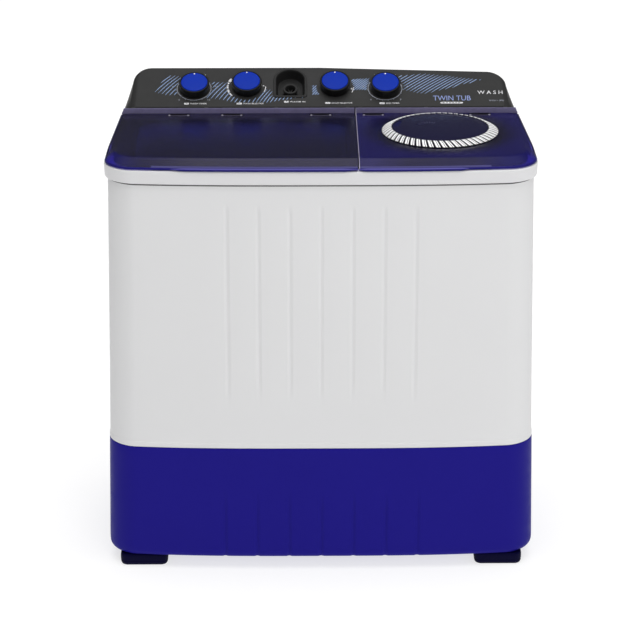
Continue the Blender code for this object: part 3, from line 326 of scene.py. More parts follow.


# painted shade deep in the tubs, darker below the rim
paint_depth_shade(M["tub_plastic"], 0.800, 0.834, 0.50)
LID = see_through("m_lid_blue", (0.165, 0.135, 0.64), (0.46, 0.41, 0.80), rough=0.20, ior=1.38)
# right lid and bevels: cloudy mix ramped by place as painted light and shade, darker round the vent, lighter along the
# front middle, bluer at the corners
LID_SPIN_PAINTED_LIGHT = see_through("m_lid_blue_right_painted_light", (0.165, 0.135, 0.64), (0.46, 0.41, 0.80), rough=0.20, ior=1.38, cloud_and_painted_light=(1.0, 1.0, 1.0), cloud_and_painted_light_part=0.15,
                       painted_light_ramp=("ring", ((0.126, (0.012, 0.010, 0.030)), (0.168, (0.016, 0.010, 0.200)))))
LID_BEVEL_PAINTED_LIGHT = see_through("m_lid_bevel_painted_light", (0.165, 0.135, 0.60), (0.46, 0.41, 0.80), rough=0.22, ior=1.38, cloud_and_painted_light=(1.0, 1.0, 1.0), cloud_and_painted_light_part=0.15,
                        painted_light_ramp=("side", ((0.240, (0.155, 0.150, 0.150)), (0.350, (0.035, 0.030, 0.080)), (0.405, (0.014, 0.010, 0.260)))))
LID_BEVEL_SPIN_PAINTED_LIGHT = see_through("m_lid_bevel_right_painted_light", (0.165, 0.135, 0.60), (0.46, 0.41, 0.80), rough=0.22, ior=1.38, cloud_and_painted_light=(1.0, 1.0, 1.0), cloud_and_painted_light_part=0.15,
                             painted_light_ramp=("side", ((0.100, (0.115, 0.105, 0.290)), (0.170, (0.070, 0.065, 0.110)), (0.300, (0.060, 0.055, 0.130)),
                                               (0.375, (0.014, 0.010, 0.270)))))
# lighter strip low on the front bevel: a painted highlight
LID_RIM_HIGHLIGHT = surface("m_lid_rim_highlight", (0.050, 0.046, 0.160), 0.36, spec=0.2, tint=0.10, bump=0.05)
# darkest copy of the lid tone for its side walls: painted shade
LID_SIDE_SHADE = surface("m_lid_side_shade", (0.0085, 0.0070, 0.040), 0.36, spec=0.18, tint=0.10, bump=0.05)
# darker copy of the lid tone for its lower edge and grip: painted shade
LID_EDGE_SHADE = surface("m_lid_edge_shade", (0.0120, 0.0095, 0.125), 0.36, spec=0.18, tint=0.10, bump=0.05)
LID_GLINT = surface("m_lid_glint", (0.078, 0.068, 0.29), 0.36, spec=0.3, tint=0.10, bump=0.05)
# frosted lip colour, lighter in part as painted reflection
LID_FROST_AND_SHEEN = surface("m_lid_frost_and_sheen", (0.132, 0.119, 0.218), 0.42, spec=0.4, tint=0.22, tint_scale=90.0, bump=0.30, grain=900.0)
# pale strip at the lids' meeting edge: a painted highlight
LID_SPLIT_HIGHLIGHT = surface("m_lid_split_highlight", (0.30, 0.28, 0.36), 0.35, spec=0.3, tint=0.20, tint_scale=60.0, bump=0.05)
PRINT_WAVE = surface("m_print_wave", (0.235, 0.325, 0.520), 0.5, spec=0.2, tint=0.08, bump=0.05)
PRINT_WHITE = surface("m_print_white", (0.72, 0.72, 0.74), 0.5, spec=0.2, tint=0.04, bump=0.05)
PRINT_GREY = surface("m_print_grey", (0.34, 0.36, 0.42), 0.5, spec=0.2, tint=0.05, bump=0.05)
PRINT_NAME = surface("m_print_name", (0.24, 0.30, 0.56), 0.5, spec=0.2, tint=0.05, bump=0.05)
PRINT_DARK = surface("m_print_dark", (0.02, 0.02, 0.03), 0.5, spec=0.2, tint=0.1, bump=0.05)


# --------------------------------------------------------------- mesh helpers
def place(ob, body=BODY, replaces=()):
    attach(ob, body)
    if replaces:
        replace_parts(ob, *replaces)
    return ob


def add(name, verts, faces, mat, angle=32.0, matrix=None, fix=True, weld=0.0):
    bm = bmesh.new()
    vs = [bm.verts.new(Vector(v) * MM) for v in verts]
    for f in faces:
        idx = []
        for i in f:
            if not idx or vs[i] is not idx[-1]:
                idx.append(vs[i])
        if len(set(idx)) > 2:
            try:
                bm.faces.new(idx)
            except ValueError:
                pass
    if weld:
        bmesh.ops.remove_doubles(bm, verts=bm.verts, dist=weld * MM)
    if fix:
        bmesh.ops.recalc_face_normals(bm, faces=bm.faces)
    if matrix is not None:
        bm.transform(matrix)
    me = bpy.data.meshes.new(name)
    bm.to_mesh(me)
    bm.free()
    me.shade_smooth()
    me.set_sharp_from_angle(angle=math.radians(angle))
    me.materials.append(mat)
    ob = bpy.data.objects.new(name, me)
    bpy.context.scene.collection.objects.link(ob)
    return ob


def ring_faces(rows, n, closed=True, wrap=False, cap0=False, cap1=False, base=0):
    faces = []
    pairs = [(i, i + 1) for i in range(rows - 1)] + ([(rows - 1, 0)] if wrap else [])
    for a, b in pairs:
        for i in range(n if closed else n - 1):
            j = (i + 1) % n
            faces.append((base + a * n + i, base + a * n + j, base + b * n + j, base + b * n + i))
    if cap0:
        faces.append(tuple(base + i for i in reversed(range(n))))
    if cap1:
        faces.append(tuple(base + (rows - 1) * n + i for i in range(n)))
    return faces


def loft(name, rings, mat, wrap=False, cap0=False, cap1=False, closed=True, angle=32.0, matrix=None, fix=True):
    n = len(rings[0])
    verts = [p for r in rings for p in r]
    return add(name, verts, ring_faces(len(rings), n, closed, wrap, cap0, cap1), mat, angle, matrix, fix)


def lathe(name, profile, mat, steps=64, matrix=None, at=None, angle=32.0, wrap=False, wob=None):
    """(r, z) profile turned about Z; r = 0 ends close it."""
    verts, faces, rows = [], [], []
    for r, z in profile:
        if r <= 1e-6:
            rows.append([len(verts)] * steps)
            verts.append((0.0, 0.0, z))
        else:
            row = []
            for i in range(steps):
                a = 2.0 * math.pi * i / steps
                rr = r + (wob(a, r, z) if wob else 0.0)
                row.append(len(verts))
                verts.append((rr * math.cos(a), rr * math.sin(a), z))
            rows.append(row)
    pairs = list(zip(rows, rows[1:])) + ([(rows[-1], rows[0])] if wrap else [])
    for a, b in pairs:
        for i in range(steps):
            j = (i + 1) % steps
            q = []
            for k in (a[i], a[j], b[j], b[i]):
                if k not in q:
                    q.append(k)
            if len(q) > 2:
                faces.append(tuple(q))
    if at is not None:
        matrix = Matrix.Translation((at[0] * MM, at[1] * MM, 0.0))
    return add(name, verts, faces, mat, angle, matrix)


def soften(ob, width, segments=2, angle=35.0):
    m = ob.modifiers.new("edge", 'BEVEL')
    m.width = width * MM
    m.segments = segments
    m.limit_method = 'ANGLE'
    m.angle_limit = math.radians(angle)
    m.harden_normals = False
    return ob


def apply(ob):
    """Modifiers made real, so that the mesh is final."""
    bpy.context.view_layer.update()
    dg = bpy.context.evaluated_depsgraph_get()
    me = bpy.data.meshes.new_from_object(ob.evaluated_get(dg))
    ob.modifiers.clear()
    ob.data = me
    return ob


def join(name, obs):
    bm = bmesh.new()
    mats = []
    for o in obs:
        for mt in o.data.materials:
            if mt not in mats:
                mats.append(mt)
    me = bpy.data.meshes.new(name)
    for mt in mats:
        me.materials.append(mt)
    for o in obs:
        k = len(bm.faces)
        o.data.transform(o.matrix_world)
        bm.from_mesh(o.data)
        bm.faces.ensure_lookup_table()
        for f in bm.faces[k:]:
            f.material_index = mats.index(o.data.materials[min(f.material_index, len(o.data.materials) - 1)])
    sharp = None
    bm.to_mesh(me)
    bm.free()
    for o in obs:
        bpy.data.objects.remove(o, do_unlink=True)
    ob = bpy.data.objects.new(name, me)
    bpy.context.scene.collection.objects.link(ob)
    return ob


def smoothstep(a, b, x):
    t = min(1.0, max(0.0, (x - a) / (b - a)))
    return t * t * (3.0 - 2.0 * t)


def curve_at(points, x):
    """Smooth (cosine) reading of a table of (x, y)."""
    if x <= points[0][0]:
        return points[0][1]
    for (x0, y0), (x1, y1) in zip(points, points[1:]):
        if x <= x1:
            t = (x - x0) / (x1 - x0)
            t = t * t * (3.0 - 2.0 * t)
            return y0 + (y1 - y0) * t
    return points[-1][1]


# ------------------------------------------------------------- outline helpers
def fillet(p, a, b, r, n):
    p, a, b = Vector(p), Vector(a), Vector(b)
    u, v = (a - p).normalized(), (b - p).normalized()
    half = 0.5 * u.angle(v)
    t = r / math.tan(half)
    c = p + (u + v).normalized() * (r / math.sin(half))
    s, e = p + u * t - c, p + v * t - c
    a0, a1 = math.atan2(s.y, s.x), math.atan2(e.y, e.x)
    d = (a1 - a0 + math.pi) % (2.0 * math.pi) - math.pi
    return [(c.x + r * math.cos(a0 + d * i / n), c.y + r * math.sin(a0 + d * i / n)) for i in range(n + 1)]


def plan(wf, wb, yc, yb, bow, rf, rb, xs, ys, nf=16, nb=12, back=(0.5, 0.0, -0.5)):
    fl, fr, br, bl = (-wf, yc), (wf, yc), (wb, yb), (-wb, yb)

    def sag(x, y):
        k = min(1.0, max(0.0, (yc + rf - y) / rf))
        return (x, y - k * bow * (1.0 - abs(x / wf) ** 3))

    def side(y, sign):
        return (sign * (wf + (wb - wf) * (y - yc) / (yb - yc)), y)

    pts = [sag(*p) for p in fillet(fl, bl, fr, rf, nf)]
    pts += [sag(x, yc) for x in xs]
    pts += [sag(*p) for p in fillet(fr, fl, br, rf, nf)]
    pts += [side(y, 1.0) for y in ys]
    pts += fillet(br, fr, bl, rb, nb)
    pts += [(wb * k, yb) for k in back]
    pts += fillet(bl, br, fl, rb, nb)
    pts += [side(y, -1.0) for y in reversed(ys)]
    return pts


def case_plan(z, inset, xs, ys):
    k = (Z_CASE_TOP - z) / (Z_CASE_TOP - Z_CASE)
    if k <= 1.0:
        wf, wb = 425.3 + 10.7 * k, 398.0 + 18.0 * k
        yc, bow = -232.5 + 3.5 * k, 18.0 + 3.0 * k
    else:
        q = (k - 1.0) * 562.0 / 241.0
        wf, wb = 436.0 + 5.5 * q, 416.0 + 6.0 * q
        yc, bow = -229.0 + 2.0 * q, 21.0 + 1.0 * q
    return plan(wf - inset, wb - inset, yc + inset, Y_BACK - inset, bow, 58.0 - inset, 40.0 - inset, xs, ys)


def trim_plan(o, xs, ys):
    return plan(431.8 - o, 406.5 - o, -238.0 + o, 244.0 - o, 18.0, 58.0 - o, 45.0 - o, xs, ys)


def trim_half(y, o=0.0):
    return 431.8 - o + (406.5 - 431.8) * (y + 238.0) / 482.0


def face_matrix(u, v, h=0.0):
    at = Vector((u, FACE_Y + v * C - h * S, FACE_Z + v * S + h * C)) * MM
    return Matrix.Translation(at) @ Matrix.Rotation(FACE_TILT, 4, 'X')


def on_face(u, v, h=0.0):
    return (u, FACE_Y + v * C - h * S, FACE_Z + v * S + h * C)


def rounded_rect(x0, x1, y0, y1, r, n=8):
    pts = []
    for cx, cy, a in ((x0 + r, y0 + r, 180.0), (x1 - r, y0 + r, 270.0), (x1 - r, y1 - r, 0.0), (x0 + r, y1 - r, 90.0)):
        pts += [(cx + r * math.cos(math.radians(a + 90.0 * i / n)), cy + r * math.sin(math.radians(a + 90.0 * i / n)))
                for i in range(n + 1)]
    return pts


# ------------------------------------------------------------ base and casing
FL = (-7.0, -5.6, -4.2, -2.8, -1.4, 0.0, 1.4, 2.8, 4.2, 5.6, 7.0)


def fluted(rows, flutes, depth, depth_of, inner):
    gap = flutes[1] - flutes[0]
    xs = sorted([f + d for f in flutes for d in FL] + [f + 0.5 * gap for f in flutes[:-1]]
                + [s * x for s in (-1.0, 1.0) for x in (228.0, 258.0, 290.0, 320.0, 348.0)])
    nf = 16
    rings = []
    for z, inset, keep in rows + inner:
        ring = case_plan(z, inset, xs, (-150.0, -80.0, 0.0, 80.0, 150.0))
        out = []
        for i, (x, y) in enumerate(ring):
            j = i - (nf + 1)
            if keep and 0 <= j < len(xs):
                d = min(abs(xs[j] - f) for f in flutes)
                if d < 7.0:
                    y += depth * depth_of(z) * math.cos(0.5 * math.pi * d / 7.0) ** 2
            out.append((x, y, z))
        rings.append(out)
    return rings


def build_shells():
    rows = [(Z_BASE, 11.0, 1), (26.0, 8.4, 1), (27.2, 6.2, 1), (29.0, 4.5, 1), (31.5, 2.8, 1), (34.0, 1.6, 1), (37.0, 0.7, 1),
            (42.0, 0.2, 1), (50.0, 0.0, 1), (80.0, 0.0, 1)]
    rows += [(112.0 + 6.0 * i, 0.0, 1) for i in range(14)]
    rows += [(215.0, 0.0, 1), (250.0, 0.0, 1), (268.6, 0.0, 1), (269.9, 0.25, 1), (Z_SEAM, 1.0, 1)]
    inner = [(Z_SEAM, 6.0, 0), (60.0, 6.0, 0), (30.0, 9.5, 0)]

    def base_depth(z):
        return smoothstep(190.0, 122.0, z)
    ob = loft("base_shell_fine", fluted(rows, FLUTES_BASE, 2.6, base_depth, inner), M["base_blue"], cap0=True, cap1=True)
    place(ob, replaces=("base_shell",))

    def top_depth(z):
        return smoothstep(350.0, 430.0, z) * smoothstep(795.0, 770.0, z)
    rows = [(Z_CASE, 1.6, 1), (271.4, 0.7, 1), (272.3, 0.15, 1), (273.6, 0.0, 1), (280.6, 0.0, 1), (281.5, 0.3, 1), (282.6, 1.15, 1),
            (284.5, 1.35, 1), (320.0, 1.3, 1), (345.0, 1.3, 1)]
    rows += [(352.0 + 8.0 * i, 1.25, 1) for i in range(11)]
    rows += [(500.0, 1.0, 1), (600.0, 0.7, 1), (700.0, 0.4, 1), (764.0, 0.25, 1)]
    rows += [(770.0 + 5.0 * i, 0.2, 1) for i in range(6)]
    rows += [(815.0, 0.0, 1), (831.0, 0.0, 1), (832.5, 0.4, 1), (Z_CASE_TOP, 1.2, 1)]
    inner = [(Z_CASE_TOP, 6.0, 0), (Z_CASE, 6.0, 0)]
    ob = loft("body_casing_fine", fluted(rows, FLUTES_TOP, 2.1, top_depth, inner), M["casing_white"], wrap=True)
    place(ob, replaces=("body_casing",))


def build_trim():
    xs = [-372.0 + 744.0 * i / 30 for i in range(1, 30)]
    section = [(3.0, Z_TRIM), (2.1, 833.4), (1.4, 834.2), (0.95, 836.0), (0.7, 841.0), (0.35, 848.0), (0.05, 854.0), (0.0, 856.2),
               (0.12, 857.8), (0.5, 859.1), (1.3, 860.1), (2.6, Z_TOP), (13.0, Z_TOP), (25.0, Z_TOP), (26.0, 859.9),
               (26.0, 857.0), (7.5, 857.0), (7.5, Z_TRIM)]
    rings = [[(x, y, z) for x, y in trim_plan(o, xs, (-150.0, -60.0, 20.0, 90.0, 150.0))] for o, z in section]
    ob = loft("top_frame_fine", rings, M["frame_white"], wrap=True)
    place(ob, replaces=("top_frame",))
    table = ((-160.0, 11.4, 862.6), (-155.0, 10.6, 865.4), (-148.0, 9.8, 868.0), (-136.0, 8.6, 871.4), (-122.0, 7.6, 873.0),
             (-100.0, 6.6, 873.4), (-70.0, 5.8, 873.6), (-35.0, 5.3, 873.7), (0.0, 5.0, 873.8), (50.0, 4.7, 873.9), (98.9, 4.4, 874.0))
    for name, sign in (("side_rail_left", -1.0), ("side_rail_right", 1.0)):
        rings = []
        for y, o, z in table:
            x0, x1 = trim_half(y, o), trim_half(y, 12.5)
            r = min(2.2, 0.45 * (x0 - x1), 0.5 * (z - Z_TOP))
            ring = [(x0, Z_TOP + 0.3), (x0, z - r)]
            for i in range(1, 6):
                a = math.radians(90.0 * i / 5)
                ring.append((x0 - r + r * math.cos(a), z - r + r * math.sin(a)))
            for i in range(0, 5):
                a = math.radians(90.0 + 90.0 * i / 5)
                ring.append((x1 + 0.7 * r + 0.7 * r * math.cos(a), z - 0.7 * r + 0.7 * r * math.sin(a)))
            ring += [(x1, z - r), (x1, Z_TOP + 0.3)]
            rings.append([(sign * x, y, zz) for x, zz in ring])
        ob = loft(name + "_fine", rings, M["rail_graphite"], cap0=True, cap1=True)
        place(ob, replaces=(name,))


def build_seam_shadow():
    # dark band round the casing just under the trim: painted shadow of the gap there
    xs = [-372.0 + 744.0 * i / 30 for i in range(1, 30)]
    ys = (-150.0, -80.0, 0.0, 80.0, 150.0)
    rings = [[(x, y, z) for x, y in case_plan(z, o, xs, ys)]
             for o, z in ((0.5, 828.8), (-0.06, 829.1), (-0.1, 830.2), (-0.06, 831.4), (0.5, 831.7))]
    ob = loft("casing_seam_shadow_band", rings, surface("m_seam_shadow", (0.10, 0.10, 0.10), 0.6, spec=0.2, tint=0.1, bump=0.2), wrap=True, angle=40.0)
    place(ob)


def build_feet():
    for name, x, y in (("foot_front_left", -366.0, -196.0), ("foot_front_right", 366.0, -196.0),
                       ("foot_rear_left", -345.0, 190.0), ("foot_rear_right", 345.0, 190.0)):
        rings = []
        for o, z in ((6.5, 0.0), (4.6, 0.3), (2.8, 1.4), (1.4, 3.4), (0.6, 6.0), (0.3, 8.0), (1.0, 8.6), (1.0, 9.8), (0.3, 10.4),
                     (0.0, 12.5), (0.0, 21.0), (0.5, 23.6), (1.6, 25.0), (3.0, 25.3)):
            rings.append([(px, py, z) for px, py in rounded_rect(x - 49.0 + o, x + 49.0 - o, y - 33.0 + o, y + 33.0 - o, 14.0 - 0.8 * o, 8)])
        ob = loft(name + "_fine", rings, M["foot_rubber"], cap0=True, cap1=True)
        place(ob, replaces=(name,))


# --------------------------------------------------------------------- console
def port_outline(o, n=28):
    r = PORT_R - o
    top = PORT_V1 - PORT_R
    pts = [(r * math.cos(math.pi * i / n), top + r * math.sin(math.pi * i / n)) for i in range(n + 1)]
    low, q = PORT_V0 + o, 6.0
    arc = []
    for k in range(6):
        a = math.radians(180.0 + 90.0 * k / 5)
        arc.append((-r + q + q * math.cos(a), low + q + q * math.sin(a)))
    pts += arc + [(-x, y) for x, y in reversed(arc)]
    return pts


def face_z(y):
    return FACE_Z + (y - FACE_Y) * S / C


def build_console():
    def loop(w0, w1, y0, y1, rf, rb, zfun, drop):
        ys = (112.0, 124.0, 136.0, 148.0, 160.0, 168.0)
        pts = plan(w0, w1, y0, y1, 0.0, rf, rb, [-380.0 + 760.0 * i / 20 for i in range(1, 20)], ys, nf=4, nb=12,
                   back=[0.9 - 0.1 * i for i in range(19)])
        if drop:
            pts = [(x, y - 13.0 * max(0.0, x) / 380.0 * smoothstep(140.0, y1, y)) for x, y in pts]
        return [(x, y, zfun(x, y)) for x, y in pts]

    low = loop(412.0, 404.5, FACE_Y, 228.0, 4.0, 34.0, lambda x, y: 866.0 if y < 104.0 else 861.2, False)
    mid = loop(411.0, 403.7, FACE_Y, 227.4, 4.0, 34.0, lambda x, y: 870.0, False)
    up1 = loop(392.0, 386.0, FACE_Y, FACE_BACK_Y + 5.0, 4.0, 34.0, lambda x, y: face_z(y) - 6.5, True)
    up2 = loop(383.0, 378.0, FACE_Y + 0.8, FACE_BACK_Y, 4.0, 30.0, lambda x, y: face_z(y) - 0.6, True)
    up3 = loop(377.0, 372.5, FACE_Y + 3.5, FACE_BACK_Y - 3.0, 3.0, 28.0, lambda x, y: face_z(y), True)
    up4 = loop(370.0, 366.0, FACE_Y + 8.0, FACE_BACK_Y - 8.0, 2.5, 24.0, lambda x, y: face_z(y), True)

    def mix(a, b, t):
        return [tuple(p + (q - p) * t for p, q in zip(v, w)) for v, w in zip(a, b)]

    def catmull(a, b, c, d, t):
        out = []
        for p0, p1, p2, p3 in zip(a, b, c, d):
            out.append(tuple(0.5 * (2 * k1 + (k2 - k0) * t + (2 * k0 - 5 * k1 + 4 * k2 - k3) * t * t
                                    + (3 * k1 - k0 - 3 * k2 + k3) * t ** 3) for k0, k1, k2, k3 in zip(p0, p1, p2, p3)))
        return out
    near = mix(mid, up1, 0.78)
    rings = [low, mid, mix(mid, up1, 0.3), mix(mid, up1, 0.6), near]
    rings += [catmull(mid, near, up1, up2, t) for t in (0.35, 0.7)] + [up1]
    rings += [catmull(near, up1, up2, up3, t) for t in (0.25, 0.5, 0.75)] + [up2]
    rings += [catmull(up1, up2, up3, up4, t) for t in (0.33, 0.66)] + [up3, up4]
    ob = loft("console_housing_fine", rings, M["console_graphite"], cap1=True, angle=40.0)
    m = ob.modifiers.new("wall", 'SOLIDIFY')
    m.thickness = 2.5 * MM
    m.offset = -1.0
    cut = loft("cut_port", [[(u, v, h) for u, v in port_outline(-2.0)] for h in (-12.0, 6.0)], M["port_black"], cap0=True, cap1=True,
               matrix=face_matrix(PORT_U, 0.0))
    b = ob.modifiers.new("port", 'BOOLEAN')
    b.operation = 'DIFFERENCE'
    b.solver = 'EXACT'
    b.object = cut
    apply(ob)
    bpy.data.objects.remove(cut, do_unlink=True)
    ob.data.shade_smooth()
    ob.data.set_sharp_from_angle(angle=math.radians(40.0))
    place(ob, replaces=("console_housing",))

    # hinge lugs on the console's front wall
    lugs = []
    for x in (-386.0, -235.0, -90.0, 58.0, 84.0, 220.0, 384.0):
        outline = [(FACE_Y + 1.0, HINGE_Z - 3.4)]
        outline += [(HINGE_Y + 3.2 * math.cos(math.radians(a)), HINGE_Z + 3.2 * math.sin(math.radians(a))) for a in range(270, 89, -15)]
        outline += [(FACE_Y + 1.0, HINGE_Z + 3.4)]
        rings = [[(x + s * w, HINGE_Y + (y - HINGE_Y) * k, HINGE_Z + (z - HINGE_Z) * k) for y, z in outline]
                 for s, w, k in ((-1, 4.0, 0.9), (-1, 3.5, 1.0), (1, 3.5, 1.0), (1, 4.0, 0.9))]
        lugs.append(loft("lug", rings, M["console_graphite"], cap0=True, cap1=True))
    place(join("console_hinge_lugs", lugs))


def build_port():
    rings = []
    for o, h in ((-3.0, 0.12), (-2.8, 0.3), (-2.2, 0.45), (-1.0, 0.45), (-0.2, 0.3), (0.3, -0.4), (0.8, -3.0), (1.6, -12.0), (2.6, -20.0),
                 (3.6, -22.6), (5.2, -23.7), (8.0, -24.0)):
        rings.append([(u, v, h) for u, v in port_outline(o)])
    ob = loft("inlet_pocket_fine", rings, M["port_black"], cap1=True, matrix=face_matrix(PORT_U, 0.0), fix=False)
    m = ob.modifiers.new("wall", 'SOLIDIFY')
    m.thickness = 1.6 * MM
    m.offset = 1.0
    apply(ob)
    place(ob, replaces=("inlet_pocket",))
    prof = [(10.4, -23.6), (10.4, -6.0), (10.9, -4.9), (11.8, -4.5), (14.0, -4.5), (14.7, -4.8), (15.0, -5.5), (15.0, -7.2),
            (14.4, -7.7), (14.4, -8.6), (15.0, -9.1), (15.0, -10.2), (14.3, -11.0), (13.6, -11.4), (13.6, -19.0), (14.6, -21.5), (16.5, -23.6)]
    ob = lathe("inlet_nozzle_fine", prof, M["port_black"], 48, face_matrix(PORT_U, PORT_V0 + 28.0))
    place(ob, replaces=("inlet_nozzle",))
    # strainer bars crossing down inside the nozzle
    verts, faces = [], []
    for k in range(3):
        a = math.pi * k / 3
        d = (math.cos(a), math.sin(a))
        p = (-d[1], d[0])
        i = len(verts)
        for s, w in ((-1, -1), (1, -1), (1, 1), (-1, 1)):
            for h in (-16.0, -14.6):
                verts.append((d[0] * 10.3 * s + p[0] * 0.6 * w, d[1] * 10.3 * s + p[1] * 0.6 * w, h))
        faces += [(i, i + 2, i + 4, i + 6), (i + 1, i + 3, i + 5, i + 7), (i, i + 1, i + 3, i + 2), (i + 2, i + 3, i + 5, i + 4),
                  (i + 4, i + 5, i + 7, i + 6), (i + 6, i + 7, i + 1, i)]
    ob = add("inlet_strainer", verts, faces, M["port_black"], matrix=face_matrix(PORT_U, PORT_V0 + 28.0))
    place(ob)


# --------------------------------------------------------------- printed marks
class Print:
    """Thin raised marks on the console face, as flat strips with a little thickness."""

    def __init__(self):
        self.verts, self.faces = [], []

    def strip(self, pts, w, taper=False):
        n = len(pts)
        if n < 2:
            return
        base = len(self.verts)
        for i, (u, v) in enumerate(pts):
            a, b = pts[max(0, i - 1)], pts[min(n - 1, i + 1)]
            du, dv = b[0] - a[0], b[1] - a[1]
            k = math.hypot(du, dv) or 1.0
            ww = 0.5 * w
            if taper:
                t = i / (n - 1.0)
                ww *= 0.25 + 0.75 * min(1.0, 4.0 * min(t, 1.0 - t) + 0.1)
            self.verts += [on_face(u - dv / k * ww, v + du / k * ww, 0.10), on_face(u + dv / k * ww, v - du / k * ww, 0.10)]
        for i in range(n - 1):
            self.faces.append((base + 2 * i + 1, base + 2 * i + 3, base + 2 * i + 2, base + 2 * i))

    def poly(self, pts):
        base = len(self.verts)
        self.verts += [on_face(u, v, 0.10) for u, v in pts]
        self.faces.append(tuple(range(base, base + len(pts))))

    def arc(self, cu, cv, r, a0, a1, w, n=40):
        self.strip([(cu + r * math.cos(math.radians(a0 + (a1 - a0) * i / n)), cv + r * math.sin(math.radians(a0 + (a1 - a0) * i / n)))
                    for i in range(n + 1)], w)

    def disc(self, cu, cv, r, n=16):
        self.poly([(cu + r * math.cos(2 * math.pi * i / n), cv + r * math.sin(2 * math.pi * i / n)) for i in range(n)])

    def pill(self, u0, u1, v0, v1, r):
        self.poly(rounded_rect(u0, u1, v0, v1, r, 4))

    def make(self, name, mat):
        ob = add(name, self.verts, self.faces, mat, fix=False)
        m = ob.modifiers.new("film", 'SOLIDIFY')
        m.thickness = 0.08 * MM
        m.offset = -1.0
        apply(ob)
        return place(ob)


def text(name, body, mat, u0, u1, v0, height, matrix=None, width=None, body_name=BODY, slot="console_graphite", shear=0.0):
    cu = bpy.data.curves.new(name, 'FONT')
    cu.body = body
    cu.size = 1.0
    cu.shear = shear
    cu.resolution_u = 3
    ob = bpy.data.objects.new(name, cu)
    bpy.context.scene.collection.objects.link(ob)
    bpy.context.view_layer.update()
    me = bpy.data.meshes.new_from_object(ob.evaluated_get(bpy.context.evaluated_depsgraph_get()))
    bpy.data.objects.remove(ob, do_unlink=True)
    xs = [v.co.x for v in me.vertices]
    ys = [v.co.y for v in me.vertices]
    sx, sy = (u1 - u0) / (max(xs) - min(xs)), height / (max(ys) - min(ys))
    for v in me.vertices:
        p = on_face(u0 + (v.co.x - min(xs)) * sx, v0 + (v.co.y - min(ys)) * sy, 0.10)
        v.co = Vector(p) * MM
    me.materials.clear()
    me.materials.append(mat)
    ob = bpy.data.objects.new(name, me)
    bpy.context.scene.collection.objects.link(ob)
    m = ob.modifiers.new("film", 'SOLIDIFY')
    m.thickness = 0.08 * MM
    m.offset = 0.0
    apply(ob)
    return ob


CENTRE = ((-352.0, 47.0), (-310.0, 66.0), (-228.0, 51.0), (-165.0, 43.0), (-110.0, 33.0), (-66.0, 27.0), (-46.0, 29.0), (-14.0, 50.0),
          (40.0, 60.0), (86.0, 68.0), (160.0, 73.0), (215.0, 69.0), (262.0, 73.0), (300.0, 77.5), (343.0, 81.0))
HALF = ((-352.0, 0.5), (-312.0, 31.0), (-228.0, 26.0), (-165.0, 31.0), (-110.0, 21.0), (-66.0, 6.0), (-46.0, 1.0), (-30.0, 11.0),
        (-14.0, 15.0), (40.0, 16.0), (86.0, 18.0), (160.0, 21.0), (215.0, 31.0), (262.0, 22.5), (300.0, 10.5), (343.0, 0.6))


